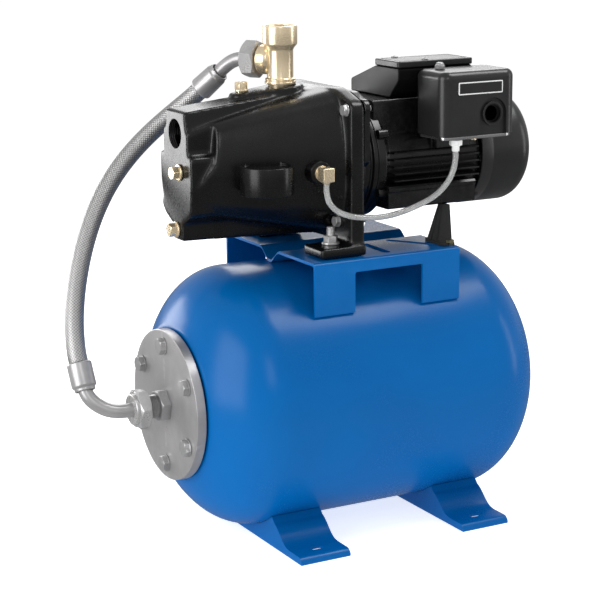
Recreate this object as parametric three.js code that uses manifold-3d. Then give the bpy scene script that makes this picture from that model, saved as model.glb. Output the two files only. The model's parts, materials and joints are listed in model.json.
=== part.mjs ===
// A shallow-well centrifugal (jet) pump on a horizontal bladder tank.
// Millimetres. +X runs along the tank and the motor shaft, from the suction end
// to the fan; -Y is the side with the pressure switch; +Z is up.

import * as THREE from 'three';
import { mergeVertices } from 'three/addons/utils/BufferGeometryUtils.js';
import Module from 'manifold-3d';

const wasm = await Module();
wasm.setup();

// ---------------------------------------------------------------- driving sizes

const gap = 0.3; // clearance between pieces that touch

const tank = { radius: 140, height: 146.8, half: 127.2, dome: 87, wall: 2.5, valveHole: 6 };
const mouth = { radius: 45, collar: 82.5, face: -197.5, thick: 6 };
const flange = { radius: 80.3, back: -199.9, front: -210.1, bore: 13, bolts: 6, circle: 64 };
const foot = { half: 29, centres: [-98.7, 99], toe: 146.8, pad: 7.5, sheet: 2.6 };
const platform = { left: -84.9, right: 91.1, half: 102, top: 302.4, sheet: 3 };
const groove = { lip: 20, middle: -2, floor: 287.2 };
const notch = { left: -37.1, right: 45, top: 289.2 };

const shaftZ = 391.7; // height of the pump and motor axis
const shaftRadius = 8;
const casing = { left: -191, plate: -33, right: -17, half: 88, top: 456, rise: 0.105 };
const suction = { z: 432.4, bore: 16, depth: 40, floor: 372 };
const chamberLeft = -143;
const gauge = { y: -9.5, z: 393.5 };
const drainZ = 332.7;
const plugX = -114.5; // priming port
const teeX = -68.3; // discharge port
const teePad = 474.4; // height of the pad at the middle of the tee
const plugPad = 470; // height of the pad at the middle of the priming plug
const bracket = { left: -16.7, face: -10, right: 14 };
const motor = { left: 14.3, right: 146, radius: 55, bore: 50.3 };
const fanCover = { left: 147, shoulder: 198, right: 217, radius: 61.4, corner: 18, slots: 10 };
const box = { left: 46, right: 138, front: -50.5, back: 50, bottom: 457, top: 489.2 };
const pressureSwitch = {
	left: 62.5, right: 154.5, front: -112, back: -53.5, bottom: 421.6, top: 489, corner: 12, brow: 8,
};
const knockout = { x: 124.5, z: 443.4, outer: 12.5, bore: 8, arch: 16.8 };

// ---------------------------------------------------------------- finishes

function finish(color, roughness, metalness) {
	return new THREE.MeshStandardMaterial({ color, roughness, metalness });
}

const bluePaint = finish(0x0060a8, 0.4, 0);
const blackPaint = finish(0x17181a, 0.45, 0);
const castBlack = finish(0x141516, 0.55, 0);
const blackPlastic = finish(0x1b1c1e, 0.5, 0);
const zinc = finish(0xb0b1b2, 0.45, 0.8);
const steel = finish(0x9a9b9d, 0.35, 0.9);
const brass = finish(0xd2b274, 0.25, 0.9);
const rubber = finish(0x101112, 0.8, 0);
const braid = finish(0xb9b7b5, 0.5, 0.7);
const copper = finish(0x9b5c34, 0.4, 0.8);
const nylon = finish(0xd8dad8, 0.35, 0);
const carbon = finish(0x2a2b2d, 0.5, 0.2);

// ---------------------------------------------------------------- solids

// A closed three.js geometry as a manifold solid.
function solid(geometry) {
	const bare = geometry.clone();
	bare.deleteAttribute('normal');
	bare.deleteAttribute('uv');
	const merged = mergeVertices(bare, 1e-4);
	const corners = merged.index.array;
	const triVerts = [];
	for (let i = 0; i < corners.length; i += 3) {
		const [a, b, c] = corners.slice(i, i + 3);
		if (a !== b && b !== c && c !== a) triVerts.push(a, b, c);
	}
	return new wasm.Manifold(new wasm.Mesh({
		numProp: 3,
		vertProperties: merged.attributes.position.array,
		triVerts: Uint32Array.from(triVerts),
	}));
}

function join(...solids) {
	return solids.reduce((whole, next) => whole.add(next));
}

function cut(whole, ...tools) {
	return tools.reduce((rest, tool) => rest.subtract(tool), whole);
}

function toGeometry(manifold) {
	const mesh = manifold.getMesh();
	const geometry = new THREE.BufferGeometry();
	geometry.setAttribute('position', new THREE.BufferAttribute(mesh.vertProperties, 3));
	geometry.setIndex(new THREE.BufferAttribute(mesh.triVerts, 1));
	geometry.computeVertexNormals();
	return geometry;
}

// A box from its lowest to its highest corner.
function block(low, high) {
	const geometry = new THREE.BoxGeometry(high[0] - low[0], high[1] - low[1], high[2] - low[2]);
	geometry.translate((low[0] + high[0]) / 2, (low[1] + high[1]) / 2, (low[2] + high[2]) / 2);
	return solid(geometry);
}

// Turns a profile of [radius, distance] pairs round an axis. The profile either
// starts and ends on the axis or closes on itself.
function turned(profile, segments = 24) {
	const onAxis = profile[0][0] === 0 && profile.at(-1)[0] === 0;
	const loop = onAxis ? profile : [...profile, profile[0]];
	const points = loop.map(([radius, distance]) => new THREE.Vector2(radius, distance));
	if (THREE.ShapeUtils.area(points) < 0) points.reverse();
	return new THREE.LatheGeometry(points, segments);
}

function turnedX(profile, y, z, segments) {
	return solid(turned(profile, segments).rotateZ(-Math.PI / 2).translate(0, y, z));
}

function turnedZ(profile, x, y, segments) {
	return solid(turned(profile, segments).rotateX(Math.PI / 2).translate(x, y, 0));
}

function rodProfile(radius, from, to) {
	return [[0, from], [radius, from], [radius, to], [0, to]];
}

function tubeProfile(inner, outer, from, to) {
	return [[inner, from], [outer, from], [outer, to], [inner, to]];
}

function rodX(radius, from, to, y, z, segments) {
	return turnedX(rodProfile(radius, from, to), y, z, segments);
}

function rodZ(radius, from, to, x, y, segments) {
	return turnedZ(rodProfile(radius, from, to), x, y, segments);
}

// Turns a profile round the line from one point towards another.
function turnedBetween(profile, from, to, segments) {
	const along = to.clone().sub(from).normalize();
	const turn = new THREE.Quaternion().setFromUnitVectors(new THREE.Vector3(0, 1, 0), along);
	return solid(turned(profile, segments).applyQuaternion(turn).translate(from.x, from.y, from.z));
}

// A rod between two points, with any number of flats.
function rodBetween(radius, from, to, segments = 16) {
	return turnedBetween(rodProfile(radius, 0, to.distanceTo(from)), from, to, segments);
}

function rodAlongY(radius, from, to, x, z, segments) {
	return rodBetween(radius, new THREE.Vector3(x, from, z), new THREE.Vector3(x, to, z), segments);
}

function outline(pairs) {
	return new THREE.Shape(pairs.map(([u, v]) => new THREE.Vector2(u, v)));
}

// Extrudes a [y, z] outline along X. widen(x) gives the section's two scales about the shaft.
function alongX(pairs, from, to, widen) {
	const geometry = new THREE.ExtrudeGeometry(outline(pairs), { depth: to - from, bevelEnabled: false });
	const axes = new THREE.Matrix4().makeBasis(
		new THREE.Vector3(0, 1, 0), new THREE.Vector3(0, 0, 1), new THREE.Vector3(1, 0, 0));
	geometry.applyMatrix4(axes).translate(from, 0, 0);
	if (widen) {
		const points = geometry.attributes.position;
		for (let i = 0; i < points.count; i += 1) {
			const [across, up] = widen(points.getX(i));
			points.setY(i, points.getY(i) * across);
			points.setZ(i, shaftZ + (points.getZ(i) - shaftZ) * up);
		}
	}
	return solid(geometry);
}

// Extrudes an [x, z] outline along Y.
function alongY(pairs, from, to) {
	const geometry = new THREE.ExtrudeGeometry(outline(pairs), { depth: to - from, bevelEnabled: false });
	geometry.rotateX(Math.PI / 2).translate(0, to, 0);
	return solid(geometry);
}

// Extrudes an [x, y] outline along Z.
function alongZ(pairs, from, to) {
	const geometry = new THREE.ExtrudeGeometry(outline(pairs), { depth: to - from, bevelEnabled: false });
	return solid(geometry.translate(0, 0, from));
}

// A round section swept along a smooth curve through the given points.
function swept(points, radius, sides, steps) {
	const ring = [];
	for (let i = 0; i < sides; i += 1) {
		const turn = (i / sides) * 2 * Math.PI;
		ring.push([radius * Math.cos(turn), radius * Math.sin(turn)]);
	}
	const path = new THREE.CatmullRomCurve3(points.map((point) => new THREE.Vector3(...point)));
	return solid(new THREE.ExtrudeGeometry(outline(ring), { steps, extrudePath: path, bevelEnabled: false }));
}

function arc(centreU, centreV, radiusU, radiusV, fromDegrees, toDegrees, steps) {
	const points = [];
	for (let i = 0; i <= steps; i += 1) {
		const turn = THREE.MathUtils.degToRad(fromDegrees + ((toDegrees - fromDegrees) * i) / steps);
		points.push([centreU + radiusU * Math.cos(turn), centreV + radiusV * Math.sin(turn)]);
	}
	return points;
}

// Half an outline, from its outer end to the middle, and its mirror image.
function mirrored(pairs) {
	return [...pairs, ...pairs.filter(([y]) => y !== 0).map(([y, z]) => [-y, z]).reverse()];
}

const pump = new THREE.Group();

function add(name, manifold, material) {
	const mesh = new THREE.Mesh(toGeometry(manifold), material);
	mesh.name = name;
	pump.add(mesh);
}

// ---------------------------------------------------------------- tank

// Places round the flange where its bolts go, as [y, z].
const flangeBolts = [];
for (let i = 0; i < flange.bolts; i += 1) {
	const turn = ((30 + (360 / flange.bolts) * i) * Math.PI) / 180;
	flangeBolts.push([flange.circle * Math.cos(turn), tank.height + flange.circle * Math.sin(turn)]);
}

const boltShank = 4.8;
const flangeHoles = join(...flangeBolts.map(([y, z]) => rodX(boltShank + gap, -212, -188, y, z, 8)));

// Height of the tank's skin above the floor, at a distance y from its middle.
function skinBelow(y) {
	return tank.height - Math.sqrt((tank.radius + gap) ** 2 - y ** 2);
}

function makeTankShell() {
	const inner = tank.radius - tank.wall;
	const innerDome = tank.dome - tank.wall;
	const degrees = (radius, full) => THREE.MathUtils.radToDeg(Math.acos(radius / full));
	const collarBack = mouth.face + mouth.thick;
	const innerCollar = inner * Math.sqrt(1 - ((-tank.half - collarBack) / innerDome) ** 2);
	const profile = [
		[mouth.radius, mouth.face],
		...arc(0, -tank.half, tank.radius, -tank.dome, degrees(mouth.collar, tank.radius), 0, 4),
		...arc(0, tank.half, tank.radius, tank.dome, 0, degrees(tank.valveHole, tank.radius), 6),
		...arc(0, tank.half, inner, innerDome, degrees(tank.valveHole, inner), 0, 3),
		...arc(0, -tank.half, inner, -innerDome, 0, degrees(innerCollar, inner), 2),
		[mouth.radius, collarBack],
	];
	add('tank_shell', cut(turnedX(profile, 0, tank.height, 36), flangeHoles), bluePaint);
}

// The rubber bladder: a lip under the flange, a neck, and a bag open to the neck.
function makeBladder() {
	const skin = 2.4;
	const neck = mouth.radius - 0.8;
	const lip = { radius: 76, back: mouth.face - gap, front: mouth.face - gap - 1.8 };
	const bag = [[neck, -188], [86, -166], [116, -110], [116, 90], [84, 136], [0, 160]];
	const inside = bag.map(([radius, x]) => [Math.max(radius - skin, 0), x < 0 ? x + 1 : x - skin]);
	const profile = [
		...inside.reverse(), [neck - skin, lip.front], [lip.radius, lip.front], [lip.radius, lip.back],
		[neck, lip.back], ...bag,
	];
	add('tank_bladder', cut(turnedX(profile, 0, tank.height, 24), flangeHoles), rubber);
}

function makeFlange() {
	const disc = turnedX([
		[flange.bore, flange.back], [flange.radius, flange.back], [flange.radius, flange.front + 0.8],
		[flange.radius - 0.8, flange.front], [flange.bore, flange.front],
	], 0, tank.height, 32);
	add('tank_flange', cut(disc, flangeHoles), zinc);
	flangeBolts.forEach(([y, z], index) => {
		const head = rodX(8.8, flange.front - gap - 6.4, flange.front - gap, y, z, 6);
		const shank = rodX(boltShank, flange.front - gap, -191, y, z, 8);
		add(`flange_bolt_${index + 1}`, join(head, shank), zinc);
	});
}

// A pressed steel foot: a shallow channel that crosses under the tank.
function makeFoot(name, centre) {
	const crown = [[foot.toe, 0], [foot.toe, 3], [foot.toe - 4, foot.pad], [117, foot.pad], [111, 9.4],
		[105, 13.5], [98, 20], [92, 25], [87, 27.5]];
	const cradle = [82, 69, 55, 41, 27, 13, 0].map((y) => [y, skinBelow(y)]);
	const section = mirrored([...crown, ...cradle]);
	const half = foot.half;
	const body = alongX(section, centre - half, centre + half);
	const floor = foot.sheet;
	const hollow = (side) => alongX([
		[side * (foot.toe - floor), -1], [side * (foot.toe - floor - 2), foot.pad - floor],
		[side * 115, foot.pad - floor], [side * 109, 7.4], [side * 103, 11.4], [side * 90, 22.4],
		[side * 80, 23.9],
		[side * 55, skinBelow(55) - floor], [side * 34, skinBelow(34) - floor], [side * 34, -1],
	], centre - half + floor, centre + half - floor);
	const slot = (side) => join(
		block([centre - 3.5, side * 126 - 3.6, -1], [centre + 3.5, side * 126 + 3.6, 12]),
		rodZ(3.6, -1, 12, centre - 3.5, side * 126, 8), rodZ(3.6, -1, 12, centre + 3.5, side * 126, 8));
	add(name, cut(body, hollow(1), hollow(-1), slot(1), slot(-1)), bluePaint);
}

// Four diagonal slots let the platform take pumps of other sizes.
function platformSlots() {
	const slots = [];
	for (const side of [-1, 1]) {
		for (const [from, to] of [[[46, 33], [80, 84]], [[12, 38], [11, 84]]]) {
			const start = new THREE.Vector2(from[0], from[1] * side);
			const end = new THREE.Vector2(to[0], to[1] * side);
			const across = end.clone().sub(start).normalize().rotateAround(new THREE.Vector2(), Math.PI / 2);
			across.multiplyScalar(4.5);
			const corners = [start.clone().add(across), start.clone().sub(across),
				end.clone().sub(across), end.clone().add(across)];
			slots.push(alongZ(corners.map((corner) => [corner.x, corner.y]), platform.top - 8, platform.top + 5));
		}
	}
	return slots;
}

const footBolts = [[-47, -68], [-47, 68]];
const motorFoot = { x: 84.5, y: -72, top: 343.3 };

function makePlatform() {
	const { half, top, sheet } = platform;
	const skirt = tank.height + Math.sqrt((tank.radius + gap) ** 2 - (half - sheet) ** 2) + 0.4;
	const over = [[half, skirt], [half, top - 3], [half - 3, top], [groove.lip + 1, top],
		[groove.lip - 3, top - 2.5], [6.5, groove.floor + sheet + 1], [3.5, groove.floor + sheet]];
	const under = [[half - sheet, skirt], [half - sheet, top - sheet - 1], [half - sheet - 1, top - sheet],
		[groove.lip - 0.5, top - sheet], [groove.lip - 5.5, top - sheet - 2.5], [4.5, groove.floor + 0.6],
		[2.5, groove.floor]];
	const channel = alongX([...mirrored(over), ...mirrored(under).reverse()].map(([y, z]) => [
		Math.abs(y) < half / 2 ? y + groove.middle : y, z]), platform.left, platform.right);
	const windows = block([notch.left, -half - 1, skirt - 5], [notch.right, half + 1, notch.top]);
	const core = block([notch.left - 1, -60, skirt - 6], [notch.right + 1, 60, notch.top + 20]);
	const holes = footBolts.map(([x, y]) => rodZ(5.5, top - 8, top + 5, x, y, 12));
	holes.push(rodZ(3.5, top - 8, top + 5, motorFoot.x + 2, motorFoot.y - 18.5, 12));
	add('pump_platform', cut(channel, cut(windows, core), ...holes, ...platformSlots()), bluePaint);
}

// The air valve in the far dome, with its pin and cap.
function makeAirValve() {
	const end = tank.half + tank.dome;
	const { height } = tank;
	const stem = turnedX([
		[1.8, end - 12], [9, end - 12], [9, end - 3.2], [5.6, end - 3.2], [5.6, end + 1],
		[4, end + 1], [4, end + 10], [1.8, end + 10],
	], 0, height, 12);
	add('air_valve_stem', stem, brass);
	add('air_valve_pin', rodX(1.4, end - 10, end + 9.6, 0, height, 8), steel);
	const cap = turnedX([
		[0, end + 11.6], [4.4, end + 11.6], [4.4, end + 1.4], [6.6, end + 1.4], [6.6, end + 12.6],
		[5.4, end + 13.8], [0, end + 13.8],
	], 0, height, 14);
	add('air_valve_cap', cap, blackPlastic);
}

// ---------------------------------------------------------------- hose

const unionAxis = tank.height;
const elbowBore = 4.8;
const tubeRadius = 7.5;

// Direction of the tee's side port, seen from above.
const port = new THREE.Vector3(-0.5506, 0.8348, 0).normalize();
const portZ = 500.5;

// A point on the tee's side port, or on the tube that bends down from it.
function fromPort(distance, height) {
	return new THREE.Vector3(teeX, 0, height).addScaledVector(port, distance);
}

// Where each ferrule starts on its tube and where it ends on the hose.
const lowerFerrule = [new THREE.Vector3(-293.2, 14.6, 170.1), new THREE.Vector3(-294.3, 27.4, 197.2)];
const upperFerrule = [new THREE.Vector3(-108.8, 61.4, 485.8), new THREE.Vector3(-123.2, 79.9, 465.6)];

const hoseRadius = 10.2;
const hoseRoute = [
	[-294.3, 27.5, 197.5], [-294.6, 31, 204.8], [-293.5, 37.1, 216.9], [-290, 46.9, 236],
	[-284.6, 56.6, 254.7], [-277.8, 66.1, 273.1], [-269.8, 75.1, 291.4], [-260.7, 83.6, 309.6],
	[-250.6, 91.2, 327.4], [-239.3, 97.8, 344.9], [-226.8, 103, 362], [-213.1, 106.6, 378.4],
	[-198.2, 108.3, 394.2], [-182.4, 107.9, 409.3], [-166.1, 105.2, 423.8], [-150.1, 99.7, 437.8],
	[-135.3, 91.4, 451.5], [-127.1, 84.9, 460.2], [-123.4, 80.2, 465.3],
];

function makeLowerEnd() {
	const seat = -238;
	const nippleThread = 12.4;
	const nipple = join(
		rodX(flange.bore - gap, flange.front - gap, flange.back - 1, 0, unionAxis, 20),
		rodX(17.8, -220.5, flange.front - gap, 0, unionAxis, 6),
		rodX(nippleThread, seat, -220.5, 0, unionAxis, 16));
	const bore = rodX(8.5, -250, -190, 0, unionAxis, 16);
	add('flange_nipple', cut(nipple, bore), zinc);
	const nut = join(
		rodX(21.8, -245, -232.5, 0, unionAxis, 6),
		rodX(16.5, -248.5, -245, 0, unionAxis, 20));
	const thread = rodX(nippleThread + gap, -240.8, -230, 0, unionAxis, 16);
	const throat = rodX(tubeRadius + gap, -260, -239, 0, unionAxis, 16);
	add('hose_nut_lower', cut(nut, thread, throat), zinc);
	const route = [[seat - gap, 0, 146.8], [-252, 0, 146.8], [-264, 0.4, 147.6], [-275, 2.4, 150.6],
		[-284, 6, 156], [-290.3, 10.2, 162.6], [-293.2, 14.6, 170.1], [-293.6, 18.9, 179.2]];
	const tube = join(
		swept(route, tubeRadius, 10, 12),
		rodX(11.4, seat - gap - 2.1, seat - gap, 0, unionAxis, 12));
	add('hose_elbow_lower', cut(tube, swept([[-230, 0, 146.8], ...route.slice(1), [-294.4, 28.4, 199.3]],
		elbowBore, 6, 12)), zinc);
	makeFerrule('hose_ferrule_lower', lowerFerrule);
}

// The crimped sleeve that holds the hose on its tube.
function makeFerrule(name, [start, end]) {
	const length = end.distanceTo(start);
	const socket = tubeRadius + 1.6;
	add(name, turnedBetween([
		[socket, 0], [11, 0], [11, 3], [13, 4], [13, length], [elbowBore, length], [elbowBore, 14], [socket, 13],
	], start, end, 18), zinc);
}

function makeUpperEnd() {
	const route = [fromPort(31.6, portZ), fromPort(40, portZ), fromPort(50, portZ - 0.6),
		fromPort(59, portZ - 3.9), fromPort(66.5, portZ - 8.8)].map((point) => point.toArray());
	route.push([-108.8, 61.4, 485.8], [-113, 66.8, 479.9]);
	const collar = rodBetween(11.4, fromPort(31.6, portZ), fromPort(33.6, portZ), 12);
	const tube = join(swept(route, tubeRadius, 10, 12), collar);
	const entry = fromPort(26, portZ).toArray();
	const beyond = [-124.1, 81.1, 464.3];
	add('hose_elbow_upper', cut(tube, swept([entry, ...route.slice(1), beyond], elbowBore, 6, 12)), zinc);
	const nut = rodBetween(20.4, fromPort(24.4, portZ), fromPort(40.5, portZ), 6);
	const thread = rodBetween(12.6, fromPort(20, portZ), fromPort(33.9, portZ), 20);
	const throat = rodBetween(tubeRadius + gap, fromPort(20, portZ), fromPort(45, portZ), 16);
	add('hose_nut_upper', cut(nut, thread, throat), zinc);
	makeFerrule('hose_ferrule_upper', upperFerrule);
}

// ---------------------------------------------------------------- pump end

const casingBolts = [[-78, 454], [78, 454], [-60, 336], [60, 336]];
const cup = { x: -122.8, y: -72, radius: 27.5, bottom: 374, top: 403.2, rim: 3, depth: 3.5 };
const gaugePad = { x: -64.5, face: -80, radius: 12 };

// The casing grows from its jet end to its rear plate, faster sideways than upwards.
function widen(x) {
	const back = (casing.plate - x) / (casing.plate - casing.left);
	return [1 - 0.5 * back, 1 - 0.42 * back];
}

// Half of the casing's section at the rear plate, as [y, z].
const bodySection = [
	[22, shaftZ + 82], [50, shaftZ + 80], [63, shaftZ + 72], [71, shaftZ + 54], [76, shaftZ + 28],
	[77, shaftZ], [75, shaftZ - 28], [67, shaftZ - 50], [52, shaftZ - 64], [26, shaftZ - 71],
];

function inset(pairs, factor) {
	return pairs.map(([y, z]) => [y * factor, shaftZ + (z - shaftZ) * factor]);
}

function topAt(x) {
	return casing.top + casing.rise * (x - casing.left);
}

// The neck of the casing stands back from the barrel on both sides, above a slanted line.
function neckRecess(side) {
	const slab = (pairs, near) => {
		const [from, to] = [side * near, side * 100].sort((a, b) => a - b);
		return alongY(pairs, from, to);
	};
	return [
		slab([[-200, 411], [-165.6, 411], [-161, 450], [-161, 485], [-200, 485]], 30),
		slab([[-200, 366], [-190, 371], [-166, 406], [-165.6, 411.2], [-200, 411.2]], 38.4),
	];
}

// One raised pad, with round ends and a sloping top, under the priming plug and the tee.
function portPad() {
	const ends = [...arc(teeX, 0, 24, 24, -80, 80, 8), ...arc(plugX, 0, 13, 13, 100, 260, 6)];
	const slope = (teePad - plugPad) / (teeX - plugX);
	const over = alongY([[-140, plugPad + slope * (-140 - plugX)], [-20, plugPad + slope * (-20 - plugX)],
		[-20, 500], [-140, 500]], -40, 40);
	return cut(alongZ(ends, 450, 480), over);
}

function makeCasing() {
	const { left, plate, right, half } = casing;
	const bar = alongX([[26, 411], [20.6, 480], [-20.6, 480], [-29.4, 411]], left, plate);
	const above = alongY([[left - 5, topAt(left - 5)], [plate + 5, topAt(plate + 5)], [plate + 5, 500],
		[left - 5, 500]], -40, 40);
	const jetEnd = alongX([[14, 412], [16.6, 405], [27, 380], [38, 355.7], [29.7, 346.3], [12, 337],
		[-14, 340], [-35, 351.3], [-38.2, 380], [-38.2, 411.5], [-27, 412.5]], left, -140);
	const barrel = cut(alongX(mirrored(bodySection), left, plate, widen), ...neckRecess(-1), ...neckRecess(1));
	const keel = alongY([[left, 322], [left, 346], [plate, 346], [plate, 316]], -14, 10);
	const rearPlate = alongX(mirrored([[28, topAt(plate) + 1], [48, 474.5], [half, 461], [half, 303.2],
		[52, 303.2], [44, 314]]), plate, right);
	const feet = [-1, 1].map((side) => block([-70, Math.min(side * 50, side * 92), 302.7],
		[right, Math.max(side * 50, side * 92), 314]));
	const boss = rodZ(cup.radius, cup.bottom, cup.top, cup.x, cup.y, 24);
	const dish = cut(rodZ(cup.radius - cup.rim, cup.top - cup.depth, cup.top + 1, cup.x, cup.y, 24),
		block([cup.x - 30, -53, cup.top - 10], [cup.x + 30, 0, cup.top + 10]));
	const linePad = rodAlongY(gaugePad.radius, gaugePad.face, gaugePad.face + 26, gaugePad.x, shaftZ, 16);
	const outer = join(cut(bar, above), jetEnd, barrel, keel, rearPlate, ...feet, boss, portPad(), linePad);

	const chamber = alongX(inset(mirrored(bodySection), 0.9), chamberLeft, right + 1, widen);
	const suctionRoom = block([left + 8, -16, suction.floor], [chamberLeft - 8, 16, suction.z + 8]);
	const bores = [
		rodX(suction.bore, left - 2, left + suction.depth, 0, suction.z, 20),
		rodX(6, left - 3, left + 20, gauge.y, gauge.z, 12),
		rodX(6, left - 3, left + 24, 0, drainZ, 12),
		block([left + 20, -5, drainZ - 6], [-110, 5, drainZ + 7]),
		block([-130, -5, drainZ - 4], [-108, 5, drainZ + 20]),
		rodX(16.3, chamberLeft - 17, chamberLeft + 8, 0, shaftZ, 20),
		rodZ(13.3, 440, 490, teeX, 0, 20),
		rodZ(6, 440, 490, plugX, 0, 12),
		rodAlongY(4.6, -90, -60, gaugePad.x, shaftZ, 10),
		...footBolts.map(([x, y]) => rodZ(5.3, 298, 320, x, y, 12)),
		...casingBolts.map(([y, z]) => rodX(4.3, plate - 5, right + 5, y, z, 8)),
		...casingBolts.map(([y, z]) => rodX(8, plate - 14, plate, y, z, 12)),
	];
	add('pump_casing', cut(outer, dish, chamber, suctionRoom, ...bores), castBlack);
}

// A brass pipe plug with a hexagonal head: [x, y, z] of its seat and its direction out.
function pipePlug(name, seat, out, head) {
	const at = (distance) => new THREE.Vector3(...seat).addScaledVector(new THREE.Vector3(...out), distance);
	const washer = rodBetween(head * 1.2, at(gap), at(gap + 1.8), 16);
	const hexagon = rodBetween(head, at(gap), at(gap + 9.5), 6);
	const thread = rodBetween(5.6, at(-9), at(gap + 1), 12);
	add(name, join(washer, hexagon, thread), brass);
}

function makePlugs() {
	pipePlug('priming_plug', [plugX, 0, plugPad + 0.8], [0, 0, 1], 6.8);
	pipePlug('gauge_port_plug', [casing.left, gauge.y, gauge.z], [-1, 0, 0], 7.2);
	pipePlug('drain_plug', [casing.left, 0, drainZ], [-1, 0, 0], 7.2);
}

function makeTee() {
	const base = teePad + 1.8;
	const body = turnedZ([
		[10, 464], [12.9, 464], [12.9, base], [16.4, base], [16.4, base + 2.6], [15, base + 3.4],
		[16.2, base + 4.2], [16.2, base + 5.4], [13.8, base + 6], [13.8, 512], [18.2, 518], [18.2, 536.2],
		[17.6, 536.9], [15.6, 536.9], [15, 516], [10, 514],
	], teeX, 0, 24);
	const branch = join(
		rodBetween(11.8, fromPort(8, portZ), fromPort(31, portZ), 16),
		rodBetween(15.4, fromPort(11, portZ), fromPort(24, portZ), 16));
	const branchBore = rodBetween(7, fromPort(0, portZ), fromPort(40, portZ), 12);
	const throat = rodZ(10, 460, 530, teeX, 0, 24);
	add('discharge_tee', cut(join(body, branch), branchBore, throat), brass);
}

function makeJet() {
	const nozzle = turnedX([
		[5, -181.5], [10, -181.5], [10, -174], [8, -172], [5.4, -158], [3.6, -158], [4.4, -170],
	], 0, shaftZ, 16);
	add('jet_nozzle', nozzle, brass);
	const venturi = turnedX([
		[10.5, -158], [16, -158], [16, -146], [14.5, -144], [15.5, -90], [18, -70.5], [18, -64.5],
		[15, -64.5], [14, -74], [7, -138],
	], 0, shaftZ, 16);
	add('venturi_tube', venturi, blackPlastic);
}

function makeDiffuser() {
	const shell = turnedX([
		[18.5, -64], [53, -62], [56, -59], [56, -33.2], [52, -33.2], [52, -56.5], [50, -58.5], [18.5, -58.8],
	], 0, shaftZ, 28);
	add('diffuser', shell, blackPlastic);
}

function makeImpeller() {
	const hub = turnedX(tubeProfile(shaftRadius + 0.05, 13, -56, -38), 0, shaftZ, 20);
	const back = turnedX(tubeProfile(12, 48, -41.5, -38), 0, shaftZ, 24);
	const front = turnedX(tubeProfile(17.5, 48, -54.5, -52), 0, shaftZ, 24);
	const vanes = [];
	for (let i = 0; i < 6; i += 1) {
		const vane = new THREE.BoxGeometry(12.5, 2.4, 32).rotateX(0.6).translate(-46.5, -6, 31);
		vane.rotateX((i * Math.PI) / 3).translate(0, 0, shaftZ);
		vanes.push(solid(vane));
	}
	add('impeller', join(hub, back, front, ...vanes), brass);
}

function makeSeal() {
	const seal = turnedX([
		[shaftRadius + 0.05, -37], [14, -37], [14, -30], [12, -29], [12, -22], [shaftRadius + 0.05, -22],
	], 0, shaftZ, 20);
	add('mechanical_seal', seal, carbon);
}

// The adapter between the pump and the motor carries the seal and the front bearing.
function makeBracket() {
	const { left, face, right } = bracket;
	const lobes = casingBolts.map(([y, z]) => rodX(10, left, face, y, z, 14));
	const plate = join(rodX(78, left, face, 0, shaftZ, 32), ...lobes,
		alongX(mirrored([[60, 470], [86, 460], [86, 400], [60, 380]]), left, face));
	const neck = turnedX([
		[10, left], [58, left], [58, face], [62, 2], [64, right], [50, right], [44, 0], [26, -2],
		[26, right], [20.3, right], [20.3, -1], [10, -3],
	], 0, shaftZ, 28);
	const holes = casingBolts.map(([y, z]) => rodX(4.3, left - 2, face + 6, y, z, 10));
	add('motor_bracket', cut(join(plate, neck), rodX(9, left - 1, 0, 0, shaftZ, 20), ...holes), castBlack);
	casingBolts.forEach(([y, z], index) => {
		const head = rodX(5.9, casing.plate - gap - 5.3, casing.plate - gap, y, z, 6);
		const shank = rodX(3.9, casing.plate - gap, face + 4, y, z, 8);
		add(`casing_bolt_${index + 1}`, join(head, shank), zinc);
	});
	footBolts.forEach(([x, y], index) => {
		const nut = rodZ(7.6, 316.2, 323.4, x, y, 6);
		const washer = rodZ(9.6, 314.3, 316.4, x, y, 16);
		const stud = rodZ(4.6, platform.top - 6.6, 332.5, x, y, 10);
		add(`foot_bolt_${index + 1}`, join(nut, washer, stud), zinc);
	});
}

// ---------------------------------------------------------------- motor

function makeShaft() {
	const shaft = turnedX([
		[0, -60], [7, -60], [shaftRadius, -59], [shaftRadius, 20], [shaftRadius, 162], [7, 163], [0, 163],
	], 0, shaftZ, 20);
	add('motor_shaft', shaft, steel);
	const bore = shaftRadius + 0.05;
	add('rotor_core', turnedX(tubeProfile(bore, 30, 44, 116), 0, shaftZ, 28), steel);
	const hub = turnedX(tubeProfile(bore, 14, 151, 168), 0, shaftZ, 20);
	const web = turnedX(tubeProfile(13, 30, 151, 153.4), 0, shaftZ, 24);
	const blades = [];
	for (let i = 0; i < 7; i += 1) {
		const blade = new THREE.BoxGeometry(18, 2, 40).translate(161, 0, 32);
		blades.push(solid(blade.rotateX((i * 2 * Math.PI) / 7).translate(0, 0, shaftZ)));
	}
	add('cooling_fan', join(hub, web, ...blades), blackPlastic);
}

function makeBearings() {
	for (const [name, from, to] of [['bearing_front', 1, 13], ['bearing_rear', 129, 141]]) {
		const ring = turnedX(tubeProfile(shaftRadius + 0.08, 20, from, to), 0, shaftZ, 24);
		add(name, ring, steel);
	}
}

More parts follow.
